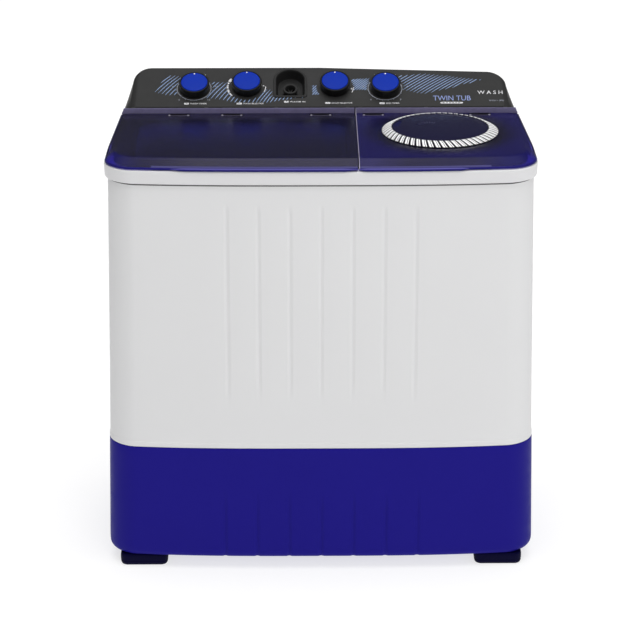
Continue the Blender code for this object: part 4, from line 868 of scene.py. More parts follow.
def build_prints():
    wave = Print()
    c = -392.0
    while c < 330.0:
        if c < -130.0:
            step, wide = 9.2, 1.9
        elif c < -30.0:
            step, wide = 7.4, 1.8
        elif c < 92.0:
            step, wide = 5.4, 2.5
        else:
            step, wide = 9.6, 1.9
        c += step
        k = 0.62 + 0.45 * smoothstep(-40.0, 230.0, c)
        pts = []
        v = 6.0
        while v < 104.0:
            u = c + k * (v - 40.0) + 0.0032 * (v - 40.0) ** 2
            mid, half = curve_at(CENTRE, u), curve_at(HALF, u)
            ok = abs(v - mid) < half
            for ku, kv in KNOBS.values():
                ok = ok and math.hypot(u - ku, v - kv) > 37.4
            if abs(u - PORT_U) < 37.5 and v > 30.0:
                ok = False
            if 104.0 < u < 150.0 or -24.0 < u < -16.0:
                ok = False
            if ok:
                pts.append((u, v))
            if pts and not ok:
                if len(pts) > 2:
                    wave.strip(pts, wide, True)
                pts = []
            v += 1.2
        if len(pts) > 2:
            wave.strip(pts, wide, True)
    wave.make("console_wave_print", PRINT_WAVE)

    white, grey = Print(), Print()
    for key, (u, v), full in (("wash_timer", KNOBS["wash_timer"], True), ("spin_timer", KNOBS["spin_timer"], True)):
        grey.arc(u - 0.8, v, 35.2, -228.0, 48.0, 1.3, 72)
        for k in range(16):
            a = math.radians(48.0 - 276.0 * k / 15)
            r1 = 39.0 if k % 3 == 0 else 37.6
            grey.strip([(u - 0.8 + 35.6 * math.cos(a), v + 35.6 * math.sin(a)), (u - 0.8 + r1 * math.cos(a), v + r1 * math.sin(a))], 0.8)
    u, v = KNOBS["wash_selector"]
    for a0, a1, w in ((142.0, 156.0, 6.0), (160.0, 166.0, 3.4), (170.0, 186.0, 3.6), (190.0, 204.0, 4.6), (208.0, 221.0, 3.4)):
        white.arc(u, v, 40.0, a0, a1, w, 10)
    white.disc(u + 34.6, v + 4.0, 1.6)
    white.arc(u, v, 39.0, -22.0, 2.0, 1.8, 10)
    u, v = KNOBS["drain_selector"]
    white.disc(u + 34.6, v - 6.0, 1.9)
    white.arc(u, v, 38.6, -26.0, -2.0, 1.6, 10)
    for u0, u1, v0 in ((-281.0, -271.0, 7.6), (-172.4, -161.2, 7.4), (-74.0, -64.5, 12.6), (11.0, 22.2, 8.6), (123.8, 135.0, 7.6)):
        white.pill(u0, u1, v0, v0 + 5.2, 1.6)
    white.pill(250.0, 297.0, 8.6, 13.6, 2.4)
    white.make("console_white_marks", PRINT_WHITE)
    grey.make("console_scale_marks", PRINT_GREY)
    dark = Print()
    for k in range(5):
        u0 = (-281.0, -172.4, -74.0, 11.0, 123.8)[k]
        v0 = (7.6, 7.4, 12.6, 8.6, 7.6)[k]
        dark.strip([(u0 + 3.0, v0 + 1.6), (u0 + 5.2, v0 + 3.4), (u0 + 7.4, v0 + 1.8)], 0.8)
    for k in range(6):
        dark.strip([(255.0 + 6.4 * k, 11.1), (259.0 + 6.4 * k, 11.1)], 1.5)
    # sits a hair above the white badges
    dark.verts = [(x, y - 0.05 * S, z + 0.05 * C) for x, y, z in dark.verts]
    dark.make("console_badge_marks", PRINT_DARK)

    words = [("WASH TIMER", -268.8, -234.0, 8.2), ("WASH SELECTOR", -158.8, -116.0, 8.0), ("WATER IN", -61.8, -30.0, 13.2),
             ("DRAIN SELECTOR", 24.6, 67.6, 9.2), ("SPIN TIMER", 137.4, 165.0, 8.2)]
    obs = [text("w%d" % i, w, PRINT_WHITE, u0, u1, v0, 3.9) for i, (w, u0, u1, v0) in enumerate(words)]
    obs.append(text("w_name2", "W A S H", PRINT_WHITE, 328.5, 380.5, 37.5, 10.0))
    obs.append(text("w_name3", "WASH + SPIN", PRINT_GREY, 351.5, 394.0 - 12.0, 15.6, 4.2))
    place(join("console_words", obs))
    place(text("console_title", "TWIN TUB", PRINT_NAME, 235.5, 313.5, 18.0, 14.5))
    nums = []
    for key, labels, a0, a1 in (("wash_timer", ("0", "3", "6", "9", "12", "15"), 226.0, -46.0), ("spin_timer", ("0", "1", "2", "3", "4", "5"), 226.0, -46.0)):
        u, v = KNOBS[key]
        for k, s in enumerate(labels):
            a = math.radians(48.0 + (-276.0) * k / 5) if False else math.radians(228.0 - 276.0 * k / 5)
            cu, cv = u + 46.0 * math.cos(a), v + 46.0 * math.sin(a)
            w = 2.6 * len(s)
            nums.append(text("n_%s_%d" % (key, k), s, PRINT_GREY, cu - 0.5 * w, cu + 0.5 * w, cv - 2.0, 4.0))
    place(join("console_numbers", nums))


# ----------------------------------------------------------------------- knobs
def build_knobs():
    for key, (u, v) in KNOBS.items():
        body = key + "_knob"
        mat = face_matrix(u, v)
        prof = [(0.0, -14.0), (3.6, -14.0), (4.0, -13.6), (4.0, 0.6), (29.9, 0.6), (30.4, 0.8), (30.6, 1.4), (30.75, 3.0), (31.05, 7.0),
                (31.45, 12.6), (31.7, 15.8), (31.7, 16.7), (31.45, 17.4), (30.9, 18.0), (30.1, 18.35), (29.2, 18.45), (28.5, 18.25), (28.2, 17.7),
                (28.1, 16.05), (0.0, 16.05)]
        ob = lathe(body + "_fine", prof, M["knob_black"], 96, mat)
        place(ob, body, (body,))
        prof = [(0.0, 16.3), (27.2, 16.3), (27.4, 16.6), (27.4, 17.9), (27.2, 18.5), (26.7, 18.9), (25.8, 19.15), (23.0, 19.5), (18.0, 19.95),
                (10.0, 20.35), (4.0, 20.55), (0.0, 20.6)]
        ob = lathe(key + "_cap_fine", prof, M["cap_blue"], 96, mat)
        place(ob, body, (key + "_cap",))
        prof = [(0.0, 19.0), (1.6, 19.0), (1.6, 19.65), (1.2, 19.85), (0.0, 19.9)]
        ob = lathe(key + "_dot", prof, PRINT_WHITE, 20, face_matrix(u, v + 23.9))
        place(ob, body)
        # short pointer rib on the skirt, in line with the dot
        rings = []
        for r, w in ((30.2, 1.1), (32.0, 1.3), (32.6, 1.1)):
            z0, z1 = 1.6, {30.2: 16.6, 32.0: 16.0, 32.6: 14.8}[r]
            rings.append([(-w, r, z0), (w, r, z0), (w, r, z1), (0.6 * w, r, z1 + 0.4), (-0.6 * w, r, z1 + 0.4), (-w, r, z1)])
        ob = loft(key + "_pointer", rings, M["knob_black"], cap0=True, cap1=True, matrix=mat)
        place(ob, body)


# ------------------------------------------------------------------------ lids
def lid_ring(par, z_front, z_side, side_in, x_end, sign, n_arc=14):
    wf, wb, yc, bow, r = par
    pts = []
    last = yc + r + 4.0
    stations = [0.0, 0.2, 0.4, 0.55, 0.7, 0.8, 0.87, 0.92, 0.96, 1.0]
    for i, t in enumerate(stations):
        y = Y_LID_BACK + (last - Y_LID_BACK) * t
        k = smoothstep(1.02, 0.84, t)
        x = wf + (wb - wf) * (y + 238.0) / 482.0 - side_in * k
        pts.append((sign * x, y, z_front + (z_side - z_front) * k))
    for x, y in fillet((-wf, yc), (-wb, 244.0), (wf, yc), r, n_arc):
        k = min(1.0, max(0.0, (yc + r - y) / r))
        pts.append((-sign * x, y - k * bow * (1.0 - abs(x / wf) ** 3), z_front))
    xa = sign * (wf - r - 4.0)
    for i in range(1, 24):
        x = xa + (x_end - xa) * i / 24
        pts.append((x, yc - bow * (1.0 - abs(x / wf) ** 3), z_front))
    pts.append((x_end, yc - bow * (1.0 - abs(x_end / wf) ** 3), z_front))
    return pts


def lid_shell(name, sign, x_end):
    table = [((430.5, 405.2, -236.5, 18.0, 56.5), 862.5, 876.9, 3.0), ((430.3, 405.0, -236.3, 18.0, 56.3), 864.2, 877.3, 3.0),
             ((429.7, 404.4, -235.6, 18.0, 55.7), 865.6, 877.6, 3.0), ((428.5, 403.2, -234.5, 18.0, 54.5), 866.8, 877.9, 2.8),
             ((426.0, 400.7, -230.4, 18.0, 53.0), 869.1, 878.2, 1.9), ((420.0, 394.6, -220.3, 18.0, 49.6), 874.3, 878.6, 0.8),
             ((416.2, 390.7, -213.8, 18.0, 47.3), 877.4, 878.9, 0.3), ((414.4, 388.9, -210.7, 18.0, 46.2), 878.6, 879.05, 0.1),
             ((412.0, 386.5, -207.6, 18.0, 44.6), 879.4, 879.4, 0.0), ((408.0, 382.5, -203.0, 18.0, 42.0), 879.85, 879.85, 0.0),
             ((404.0, 378.6, -199.0, 18.0, 40.0), Z_LID, Z_LID, 0.0)]
    rings = [lid_ring(p, zf, zs, si, x_end, sign) for p, zf, zs, si in table]
    n = len(rings[0])
    verts = [p for r in rings for p in r]
    faces = ring_faces(len(rings), n, closed=False)
    top = rings[-1]
    x_out = top[0][0]
    k0 = len(verts)
    verts.append((x_end, Y_LID_BACK, Z_LID))
    flat = [(len(rings) - 1) * n + i for i in range(n)]
    faces.append(tuple(flat + [k0]))
    ob = add(name, verts, faces, LID if sign < 0.0 else LID_SPIN_PAINTED_LIGHT, angle=50.0, weld=0.001)
    me = ob.data
    flat_face = max(me.polygons, key=lambda f: f.area)
    if flat_face.normal.z < 0.0:
        bm = bmesh.new()
        bm.from_mesh(me)
        bmesh.ops.reverse_faces(bm, faces=bm.faces)
        bm.to_mesh(me)
        bm.free()
    m = ob.modifiers.new("wall", 'SOLIDIFY')
    m.thickness = 2.8 * MM
    m.offset = -1.0
    m.use_even_offset = False
    for extra in (LID_EDGE_SHADE, LID_BEVEL_PAINTED_LIGHT if sign < 0.0 else LID_BEVEL_SPIN_PAINTED_LIGHT, LID_RIM_HIGHLIGHT, LID_SIDE_SHADE):
        me.materials.append(extra)
    for p in me.polygons:
        x, y, z = [c / MM for c in p.center]
        # sides outside the trim: dark tone as painted shade
        if y > -178.0 and z < 878.4 and abs(x) > trim_half(y, 7.5):
            p.material_index = 4
        # lowest front edge: dark tone as painted shade
        elif z < 867.2:
            p.material_index = 1
        # front bevel: the lighter rim strip low down is a painted highlight; the rest takes the bevel tone with its
        # painted light
        elif y < -178.0 and z < 879.3:
            p.material_index = 3 if z < 869.0 and abs(x) < 330.0 else 2
        else:
            p.material_index = 0
    return ob


# near-black for hinge slots and vent gaps: painted shade
SLOT_SHADE = surface("m_slot_shade", (0.0040, 0.0035, 0.0075), 0.60, spec=0.08, tint=0.10, bump=0.05)
SLOT_RIM = surface("m_slot_rim", (0.060, 0.054, 0.095), 0.40, spec=0.3, tint=0.15, bump=0.05)
PIN_HEAD = surface("m_pin_head", (0.27, 0.25, 0.34), 0.36, spec=0.5, tint=0.10, bump=0.05)


def lid_lip(name, sign, x_end):
    """Upright frosted lip along the back edge of a lid; its light colour is partly painted reflection."""
    sec = ((85.6, 880.1), (85.6, 881.4), (85.9, 884.0), (86.1, 889.4), (86.5, 890.6), (87.3, 891.0), (88.0, 890.9), (88.7, 890.2), (88.8, 889.0),
           (88.8, 877.6), (86.4, 877.6), (86.4, 880.1))
    rings = []
    for i in range(25):
        t = i / 24.0
        ring = []
        for y, z in sec:
            end = 391.0 + (LIP_HALF - 391.0) if z > 880.05 else 391.0 + 12.0
            xs = sign * (end + 4.5 * smoothstep(889.0, 880.0, z))
            ring.append((x_end + (xs - x_end) * t, y, z))
        rings.append(ring)
    ob = loft(name, rings, LID_FROST_AND_SHEEN, cap0=True, cap1=True, angle=40.0)
    return ob


def lid_split():
    """Pale strip along the right lid's edge where the two lids meet: a painted highlight."""
    x0 = X_SPLIT + LID_GAP
    path = [(85.4, 889.6), (85.3, 881.2), (84.0, 880.3), (60.0, 880.25), (-80.0, 880.25), (-200.0, 880.25), (-216.9, 880.25), (-221.1, 880.05),
            (-225.8, 879.6), (-228.9, 878.8), (-232.1, 877.55), (-238.6, 874.5), (-248.8, 869.3), (-252.9, 867.0), (-254.6, 865.4), (-254.9, 862.9)]
    rings = []
    for i, (y, z) in enumerate(path):
        a, b = path[max(0, i - 1)], path[min(len(path) - 1, i + 1)]
        t = Vector((b[0] - a[0], b[1] - a[1])).normalized()
        ny, nz = -t.y, t.x
        if nz < -0.3 or (abs(nz) < 0.3 and ny > 0.0):
            ny, nz = -ny, -nz
        rings.append([(x0 + 0.05, y - 0.5 * ny, z - 0.5 * nz), (x0 + 1.5, y - 0.5 * ny, z - 0.5 * nz), (x0 + 1.4, y + 0.15 * ny, z + 0.15 * nz),
                      (x0 + 0.15, y + 0.15 * ny, z + 0.15 * nz)])
    return loft("spin_lid_split_highlight", rings, LID_SPLIT_HIGHLIGHT, cap0=True, cap1=True, angle=60.0)


def grip(name, x0, x1):
    n = 40
    line = []
    for i in range(n + 1):
        x = x0 + (x1 - x0) * i / n
        line.append((x, -236.5 - 18.0 * (1.0 - abs(x / 430.5) ** 3)))
    sec = ((0.6, 866.3), (-0.9, 866.7), (-2.4, 866.2), (-3.5, 865.0), (-4.0, 863.6), (-4.1, 862.4), (-3.8, 861.5), (-3.2, 861.0), (-2.5, 861.1),
           (-2.0, 862.0), (-1.5, 863.0), (-0.4, 863.8), (0.8, 864.0))
    rings, glint = [], []
    for i, (x, y) in enumerate(line):
        k = min(1.0, 0.35 + 0.65 * smoothstep(0, 3, min(i, n - i)))
        rings.append([(x, y + 0.6 + (dy - 0.6) * k, 864.5 + (z - 864.5) * k) for dy, z in sec])
        glint.append([(x, y + 0.6 + (dy - 0.6) * k, 864.5 + (z - 864.5) * k)
                      for dy, z in ((0.5, 866.5), (-0.9, 867.0), (-2.6, 866.5), (-3.7, 865.2), (-3.3, 864.9), (-2.2, 865.8), (-0.8, 866.2), (0.5, 866.0))])
    # grip body in the darker lid tone as painted shade on its front; the glint bead on top is a painted highlight
    body = loft(name, rings, LID_EDGE_SHADE, cap0=True, cap1=True)
    shine = loft(name + "_edge", glint, LID_GLINT, cap0=True, cap1=True)
    return body, shine


def build_lids():
    wash = lid_shell("wash_lid_fine", -1.0, X_SPLIT - LID_GAP)
    apply(wash)
    place(wash, "wash_lid", ("wash_lid",))
    spin = lid_shell("spin_lid_fine", 1.0, X_SPLIT + LID_GAP)
    cut = lathe("cut_vent", [(0.0, 860.0), (88.0, 860.0), (88.0, 900.0), (0.0, 900.0)], LID, 96, at=SPIN_C)
    b = spin.modifiers.new("vent", 'BOOLEAN')
    b.operation = 'DIFFERENCE'
    b.solver = 'EXACT'
    b.object = cut
    apply(spin)
    bpy.data.objects.remove(cut, do_unlink=True)
    place(spin, "spin_lid", ("spin_lid",))
    for ob in (wash, spin):
        ob.data.shade_smooth()
        ob.data.set_sharp_from_angle(angle=math.radians(40.0))
    for ob in grip("wash_lid_grip", -294.0, X_SPLIT - LID_GAP):
        place(ob, "wash_lid")
    for ob in grip("spin_lid_grip", X_SPLIT + LID_GAP, 288.0):
        place(ob, "spin_lid")
    place(lid_lip("wash_lid_lip", -1.0, X_SPLIT - LID_GAP), "wash_lid")
    place(lid_lip("spin_lid_lip", 1.0, X_SPLIT + LID_GAP), "spin_lid")
    place(lid_split(), "spin_lid")
    for lid, places in (("wash_lid", (-290.0, -181.0, 2.0)), ("spin_lid", (110.5, 330.0))):
        obs = []
        for x in places:
            rings = []
            for s, r in ((-22.0, 2.2), (-22.0, 3.6), (-21.4, 4.2), (21.4, 4.2), (22.0, 3.6), (22.0, 2.2)):
                rings.append([(x + s, HINGE_Y + r * math.cos(2 * math.pi * i / 24), HINGE_Z + r * math.sin(2 * math.pi * i / 24)) for i in range(24)])
            obs.append(loft("k", rings, M["rail_graphite"], wrap=True))
            # slot in the lid's foot where the knuckle's web comes through
            web = [[(x + sx * 20.0, y, z) for y, z in ((89.1, 881.4), (89.1, 887.6), (90.6, 888.4), (90.9, 883.4), (90.0, 881.4))]
                   for sx in (-1.0, 1.0)]
            obs.append(loft("w", web, M["rail_graphite"], cap0=True, cap1=True))
        place(join(lid + "_knuckles", obs), lid)
        obs = []
        for x in places:
            # a dark pad on the lid for each slot: painted shade in place of an opening
            rr = [(px, py) for px, py in rounded_rect(x - 22.0, x + 22.0, 70.5, 84.2, 4.6, 8)]
            rings = [[(x + (px - x) * k, 77.3 + (py - 77.3) * k, z) for px, py in rr] for k, z in ((1.03, 880.02), (1.02, 880.3), (0.98, 880.4), (0.95, 880.15))]
            obs.append(loft("s", rings, SLOT_SHADE, cap0=True, cap1=True))
            # raised lip in front of the slot, and the bright heads of its two pins
            arc = []
            for i in range(13):
                t = -1.0 + i / 6.0
                px, py = x + 19.0 * t, 67.6 + 1.6 * t * t
                arc.append([(px, py - 0.9, 880.05), (px, py - 0.6, 880.8), (px, py + 0.6, 880.8), (px, py + 0.9, 880.05)])
            obs.append(loft("a", arc, SLOT_RIM, cap0=True, cap1=True))
            for sx in (-0.9, 0.86):
                obs.append(lathe("p", [(0.0, 880.1), (2.3, 880.1), (2.3, 880.9), (1.7, 881.5), (0.0, 881.8)], PIN_HEAD, 20, at=(x + 22.0 * sx, 69.4)))
        place(join(lid + "_hinge_slots", obs), lid)


def build_vent():
    # dark base under the fins: painted shade in the gaps between them
    prof = [(91.0, 880.3), (117.6, 880.3), (118.0, 880.7), (118.0, 881.4), (117.4, 882.0), (116.2, 882.3), (112.0, 884.6), (107.0, 887.2),
            (103.0, 888.9), (100.4, 889.6), (98.6, 889.5), (97.5, 888.8), (97.3, 886.0), (91.0, 886.0)]
    ob = lathe("vent_ring_base", prof, SLOT_SHADE, 128, at=SPIN_C, wrap=True)
    place(ob, "spin_lid", ("vent_ring",))
    verts, faces = [], []
    n = 108
    for k in range(n):
        pair = 2.0 * math.pi * (k // 2) / 54.0
        a0 = pair + (0.0435 if k % 2 else 0.0)
        half = 1.05 if k % 2 else 2.15
        st = [(98.2, 888.6, 889.9), (100.2, 888.8, 890.25), (103.0, 888.1, 889.5), (107.0, 886.4, 887.75), (112.0, 883.8, 885.1), (116.0, 881.6, 882.85), (117.6, 881.0, 882.2)]
        base = len(verts)
        for i, (r, zb, zt) in enumerate(st):
            a = a0 + 0.085 * (r - 98.4) / 19.2
            w = (0.6 if i in (0, 6) else 1.0) * (half + 0.02 * (r - 98.4))
            t = (-math.sin(a), math.cos(a))
            c = (SPIN_C[0] + r * math.cos(a), SPIN_C[1] + r * math.sin(a))
            for s, z in ((-1.0, zb), (-0.92, zt - 0.22), (-0.62, zt), (0.62, zt), (0.92, zt - 0.22), (1.0, zb)):
                verts.append((c[0] + t[0] * w * s, c[1] + t[1] * w * s, z))
        faces += ring_faces(len(st), 6, True, False, True, True, base)
    ob = add("vent_fins", verts, faces, M["vent_silver"], 40.0)
    place(ob, "spin_lid")
    prof = [(0.0, 886.3), (96.2, 886.3), (96.7, 886.8), (96.8, 888.6), (96.5, 889.3), (95.6, 889.8), (94.0, 890.0), (92.6, 889.7), (91.6, 889.6),
            (90.4, 889.9), (80.0, 890.6), (50.0, 891.7), (20.0, 892.3), (0.0, 892.4)]
    ob = lathe("vent_cap_fine", prof, M["cap_navy"], 128, at=SPIN_C)
    place(ob, "spin_lid", ("vent_cap",))
    # faint fan of short rays, pressed on the cap
    obs = []
    for k in range(9):
        a = math.radians(150.0 - 10.0 * k)
        r0, r1 = 20.0, 38.0 - 1.4 * abs(k - 4)
        pts = [(SPIN_C[0] - 20.0 + r * math.cos(a), SPIN_C[1] - 6.0 + r * math.sin(a)) for r in (r0, 0.5 * (r0 + r1), r1)]
        d = (-math.sin(a), math.cos(a))
        rings = []
        for i, (x, y) in enumerate(pts):
            w = (0.5, 1.1, 0.4)[i]
            z = 892.42
            rings.append([(x - d[0] * w, y - d[1] * w, z - 0.5), (x - d[0] * w, y - d[1] * w, z + 0.05), (x + d[0] * w, y + d[1] * w, z + 0.05),
                          (x + d[0] * w, y + d[1] * w, z - 0.5)])
        obs.append(loft("r", rings, PRINT_GREY_BLUE, cap0=True, cap1=True))
    place(join("vent_cap_rays", obs), "spin_lid")


PRINT_GREY_BLUE = surface("m_print_greyblue", (0.035, 0.035, 0.075), 0.4, spec=0.2, tint=0.05, bump=0.05)


# ------------------------------------------------------------- inside the tubs
def build_tubs():
    rows = [(-384.0, 64.0, -209.0, 76.0, 58.0, 861.8), (-379.0, 59.0, -204.0, 71.0, 53.0, 861.9), (-376.6, 56.6, -201.6, 68.6, 50.6, 861.2),
            (-376.0, 56.0, -201.0, 68.0, 50.0, 859.6), (-376.0, 56.0, -202.0, 68.0, 50.0, 832.0), (-376.2, 55.8, -202.3, 70.0, 51.0, 826.0),
            (-377.0, 55.0, -203.8, 100.0, 55.5, 796.0), (-377.8, 54.2, -205.6, 130.0, 59.0, 768.0), (-377.6, 53.6, -205.8, 137.6, 60.0, 752.0),
            (-375.5, 52.0, -204.0, 137.0, 60.0, 660.0), (-372.0, 49.5, -201.8, 135.2, 60.0, 540.0), (-368.0, 46.0, -199.0, 133.0, 60.0, 420.0),
            (-363.5, 41.5, -195.6, 128.5, 57.5, 388.0), (-355.0, 33.0, -188.0, 120.0, 53.0, 366.0), (-344.0, 22.0, -177.0, 109.0, 46.5, 353.0),
            (-333.0, 11.0, -166.0, 98.0, 40.0, 347.0), (-326.0, 4.0, -159.0, 91.0, 36.0, 345.0)]
    rings = [[(x, y, z) for x, y in rounded_rect(x0, x1, y0, y1, r, 10)] for x0, x1, y0, y1, r, z in rows]
    ob = loft("wash_tub_fine", rings, M["tub_plastic"], cap1=True, angle=45.0)
    flip_up(ob)
    m = ob.modifiers.new("wall", 'SOLIDIFY')
    m.thickness = 2.4 * MM
    m.offset = -1.0
    apply(ob)
    place(ob, replaces=("wash_tub",))
    # moulded ribs on the tub walls
    obs = []
    for side in ("front", "left", "right", "back"):
        if side in ("front", "back"):
            spots = [-300.0 + 46.0 * i for i in range(7)]
        else:
            spots = [-130.0 + 46.0 * i for i in range(5)]
        for t in spots:
            rings = []
            for z in (395.0, 402.0, 430.0, 520.0, 620.0, 700.0, 730.0, 737.0):
                k = (z - 420.0) / 340.0
                w = 5.0 * min(1.0, 0.2 + 0.8 * smoothstep(395.0, 410.0, z)) * min(1.0, 0.2 + 0.8 * smoothstep(737.0, 722.0, z))
                if side == "front":
                    yw = -199.0 - 7.0 * k
                    sec = [(t - w, yw - 0.6), (t - 0.5 * w, yw + 2.2), (t, yw + 2.8), (t + 0.5 * w, yw + 2.2), (t + w, yw - 0.6)]
                elif side == "back":
                    yw = 133.0 + 5.0 * k
                    if -225.0 < t < -95.0:
                        continue
                    sec = [(t - w, yw + 0.6), (t - 0.5 * w, yw - 2.2), (t, yw - 2.8), (t + 0.5 * w, yw - 2.2), (t + w, yw + 0.6)]
                elif side == "left":
                    xw = -368.0 - 10.0 * k
                    sec = [(xw - 0.6, t - w), (xw + 2.2, t - 0.5 * w), (xw + 2.8, t), (xw + 2.2, t + 0.5 * w), (xw - 0.6, t + w)]
                else:
                    xw = 46.0 + 8.0 * k
                    sec = [(xw + 0.6, t - w), (xw - 2.2, t - 0.5 * w), (xw - 2.8, t), (xw - 2.2, t + 0.5 * w), (xw + 0.6, t + w)]
                rings.append([(x, y, z) for x, y in sec])
            if len(rings) > 2:
                obs.append(loft("rib", rings, M["tub_plastic"], cap0=True, cap1=True))
    place(join("wash_tub_ribs", obs))

    def vane(a, r):
        return max(0.0, math.cos(3.0 * (a + 0.004 * r))) ** 2
    prof = [(0.0, 372.4, 0), (8.3, 372.4, 0), (8.3, 352.0, 0), (22.0, 352.0, 0), (24.0, 357.0, 0), (126.0, 357.0, 0), (132.0, 354.0, 0),
            (136.0, 355.2, 0), (137.0, 357.0, 0), (136.6, 359.0, 0), (134.0, 361.0, 0), (128.0, 362.8, 1.0), (120.0, 364.6, 3.4), (112.0, 366.0, 6.6),
            (100.0, 367.0, 11.5), (88.0, 368.2, 14.8), (78.0, 369.0, 16.2), (66.0, 370.6, 16.8), (54.0, 372.4, 16.6), (44.0, 374.6, 15.0),
            (36.0, 377.6, 11.5), (29.0, 381.0, 7.6), (22.0, 384.6, 4.0), (14.0, 388.6, 1.0), (7.0, 390.8, 0), (0.0, 391.6, 0)]
    steps = 120
    verts, faces, rowi = [], [], []
    for r, z, g in prof:
        if r == 0.0:
            rowi.append([len(verts)] * steps)
            verts.append((0.0, 0.0, z))
            continue
        row = []
        for i in range(steps):
            a = 2.0 * math.pi * i / steps
            row.append(len(verts))
            verts.append((r * math.cos(a), r * math.sin(a), z + g * vane(a, r)))
        rowi.append(row)
    for a, b in zip(rowi, rowi[1:]):
        for i in range(steps):
            j = (i + 1) % steps
            q = []
            for kk in (a[i], a[j], b[j], b[i]):
                if kk not in q:
                    q.append(kk)
            faces.append(tuple(q))
    ob = add("pulsator_fine", verts, faces, M["pulsator_blue"], 55.0, Matrix.Translation((WASH_C[0] * MM, WASH_C[1] * MM, 0.0)))
    place(ob, "pulsator", ("pulsator",))
    obs = []
    for k in range(3):
        for j, r in enumerate((62.0, 76.0, 90.0, 104.0)):
            a = math.radians(60.0 + 120.0 * k) - 0.004 * r
            obs.append(lathe("stud", [(0.0, 0.0), (3.4, 0.0), (3.4, 0.6), (2.6, 1.4), (1.6, 1.4), (1.2, 0.7), (0.0, 0.6)], M["pulsator_blue"], 16,
                             Matrix.Translation(((WASH_C[0] + r * math.cos(a)) * MM, (WASH_C[1] + r * math.sin(a)) * MM, (371.2 - 0.06 * (r - 62.0)) * MM))))
    place(join("pulsator_studs", obs), "pulsator")

    # spin basket with real perforations
    ri, ro, zb, zt = 125.3, 127.5, 437.0, 800.0
    cols, rws = 44, 15
    verts, faces = [], []
    for ci in range(cols):
        for rj in range(rws):
            a0, a1 = 2 * math.pi * ci / cols, 2 * math.pi * (ci + 1) / cols
            z0, z1 = zb + (zt - zb) * rj / rws, zb + (zt - zb) * (rj + 1) / rws
            am, zm = 0.5 * (a0 + a1), 0.5 * (z0 + z1)
            base = len(verts)
            outer = [(a0, z0), (am, z0), (a1, z0), (a1, zm), (a1, z1), (am, z1), (a0, z1), (a0, zm)]
            for a, z in outer:
                verts.append((ri * math.cos(a), ri * math.sin(a), z))
            for k in range(8):
                t = math.radians(225.0 + 45.0 * k)
                a, z = am + 3.4 / ri * math.cos(t), zm + 3.4 * math.sin(t)
                verts.append((ri * math.cos(a), ri * math.sin(a), z))
            for k in range(8):
                j = (k + 1) % 8
                faces.append((base + k, base + j, base + 8 + j, base + 8 + k))
    wall = add("basket_wall", verts, faces, M["basket_blue"], 40.0, weld=0.01)
    me = wall.data
    p = me.polygons[0]
    if Vector((p.center.x, p.center.y, 0.0)).dot(p.normal) > 0.0:
        me.flip_normals()
    m = wall.modifiers.new("wall", 'SOLIDIFY')
    m.thickness = 2.2 * MM
    m.offset = -1.0
    apply(wall)
    wall.data.transform(Matrix.Translation((SPIN_C[0] * MM, SPIN_C[1] * MM, 0.0)))
    prof = [(0.0, 440.4), (9.4, 440.4), (9.4, 408.0), (15.4, 408.0), (16.2, 409.0), (18.0, 424.0), (30.0, 424.6), (118.0, 425.9), (123.0, 427.8),
            (126.4, 431.2), (127.5, 435.0), (127.5, 437.6), (125.3, 437.6), (124.0, 434.4), (121.0, 431.6), (117.0, 430.2), (60.0, 429.4),
            (38.0, 429.2), (34.0, 431.0), (31.5, 437.0), (29.6, 446.0), (27.4, 451.2), (22.0, 454.2), (10.0, 455.7), (0.0, 456.0)]
    floor = lathe("basket_floor", prof, M["basket_blue"], 96, at=SPIN_C, angle=45.0)
    prof = [(127.5, 799.4), (127.5, 803.4), (126.6, 806.6), (124.4, 809.8), (121.4, 811.6), (118.4, 812.0), (117.2, 811.4), (117.0, 810.4),
            (118.0, 808.8), (121.4, 805.4), (124.4, 802.0), (125.3, 799.4)]
    rim = lathe("basket_rim", prof, M["basket_blue"], 96, at=SPIN_C, wrap=True, angle=45.0)
    ribs = []
    for k in range(6):
        a = math.radians(60.0 * k + 12.0)
        ca, sa = math.cos(a), math.sin(a)
        rings = []
        for z in (446.0, 452.0, 480.0, 600.0, 720.0, 780.0, 790.0):
            h = 6.0 * smoothstep(446.0, 466.0, z) * smoothstep(790.0, 770.0, z) + 0.4
            w = 9.0
            rings.append([(SPIN_C[0] + (ri + 0.4 - dr) * ca - t * sa, SPIN_C[1] + (ri + 0.4 - dr) * sa + t * ca, z)
                          for t, dr in ((-w, 0.0), (-0.6 * w, 0.55 * h), (-0.25 * w, 0.95 * h), (0.25 * w, 0.95 * h), (0.6 * w, 0.55 * h), (w, 0.0))])
        ribs.append(loft("brib", rings, M["basket_blue"], cap0=True, cap1=True, angle=50.0))
    ob = join("spin_basket_fine", [wall, floor, rim] + ribs)
    place(ob, "spin_basket", ("spin_basket",))

    prof = [(144.0, 861.8), (137.2, 861.8), (136.2, 861.4), (136.0, 860.4), (136.0, 846.0), (137.6, 842.4), (147.0, 827.6), (149.4, 824.6),
            (150.0, 820.0), (150.0, 416.0), (148.6, 409.0), (145.6, 402.0), (140.0, 398.4), (134.0, 397.6), (60.0, 396.2), (40.5, 396.0),
            (40.5, 393.5), (143.0, 395.4), (149.0, 400.0), (152.0, 408.0), (152.5, 415.0), (152.5, 823.0), (150.0, 828.6), (139.6, 844.6),
            (138.5, 848.0), (138.5, 859.3), (144.0, 859.3)]
    ob = lathe("spin_outer_tub_fine", prof, M["tub_plastic"], 96, at=SPIN_C, wrap=True, angle=45.0)
    place(ob, replaces=("spin_outer_tub",))

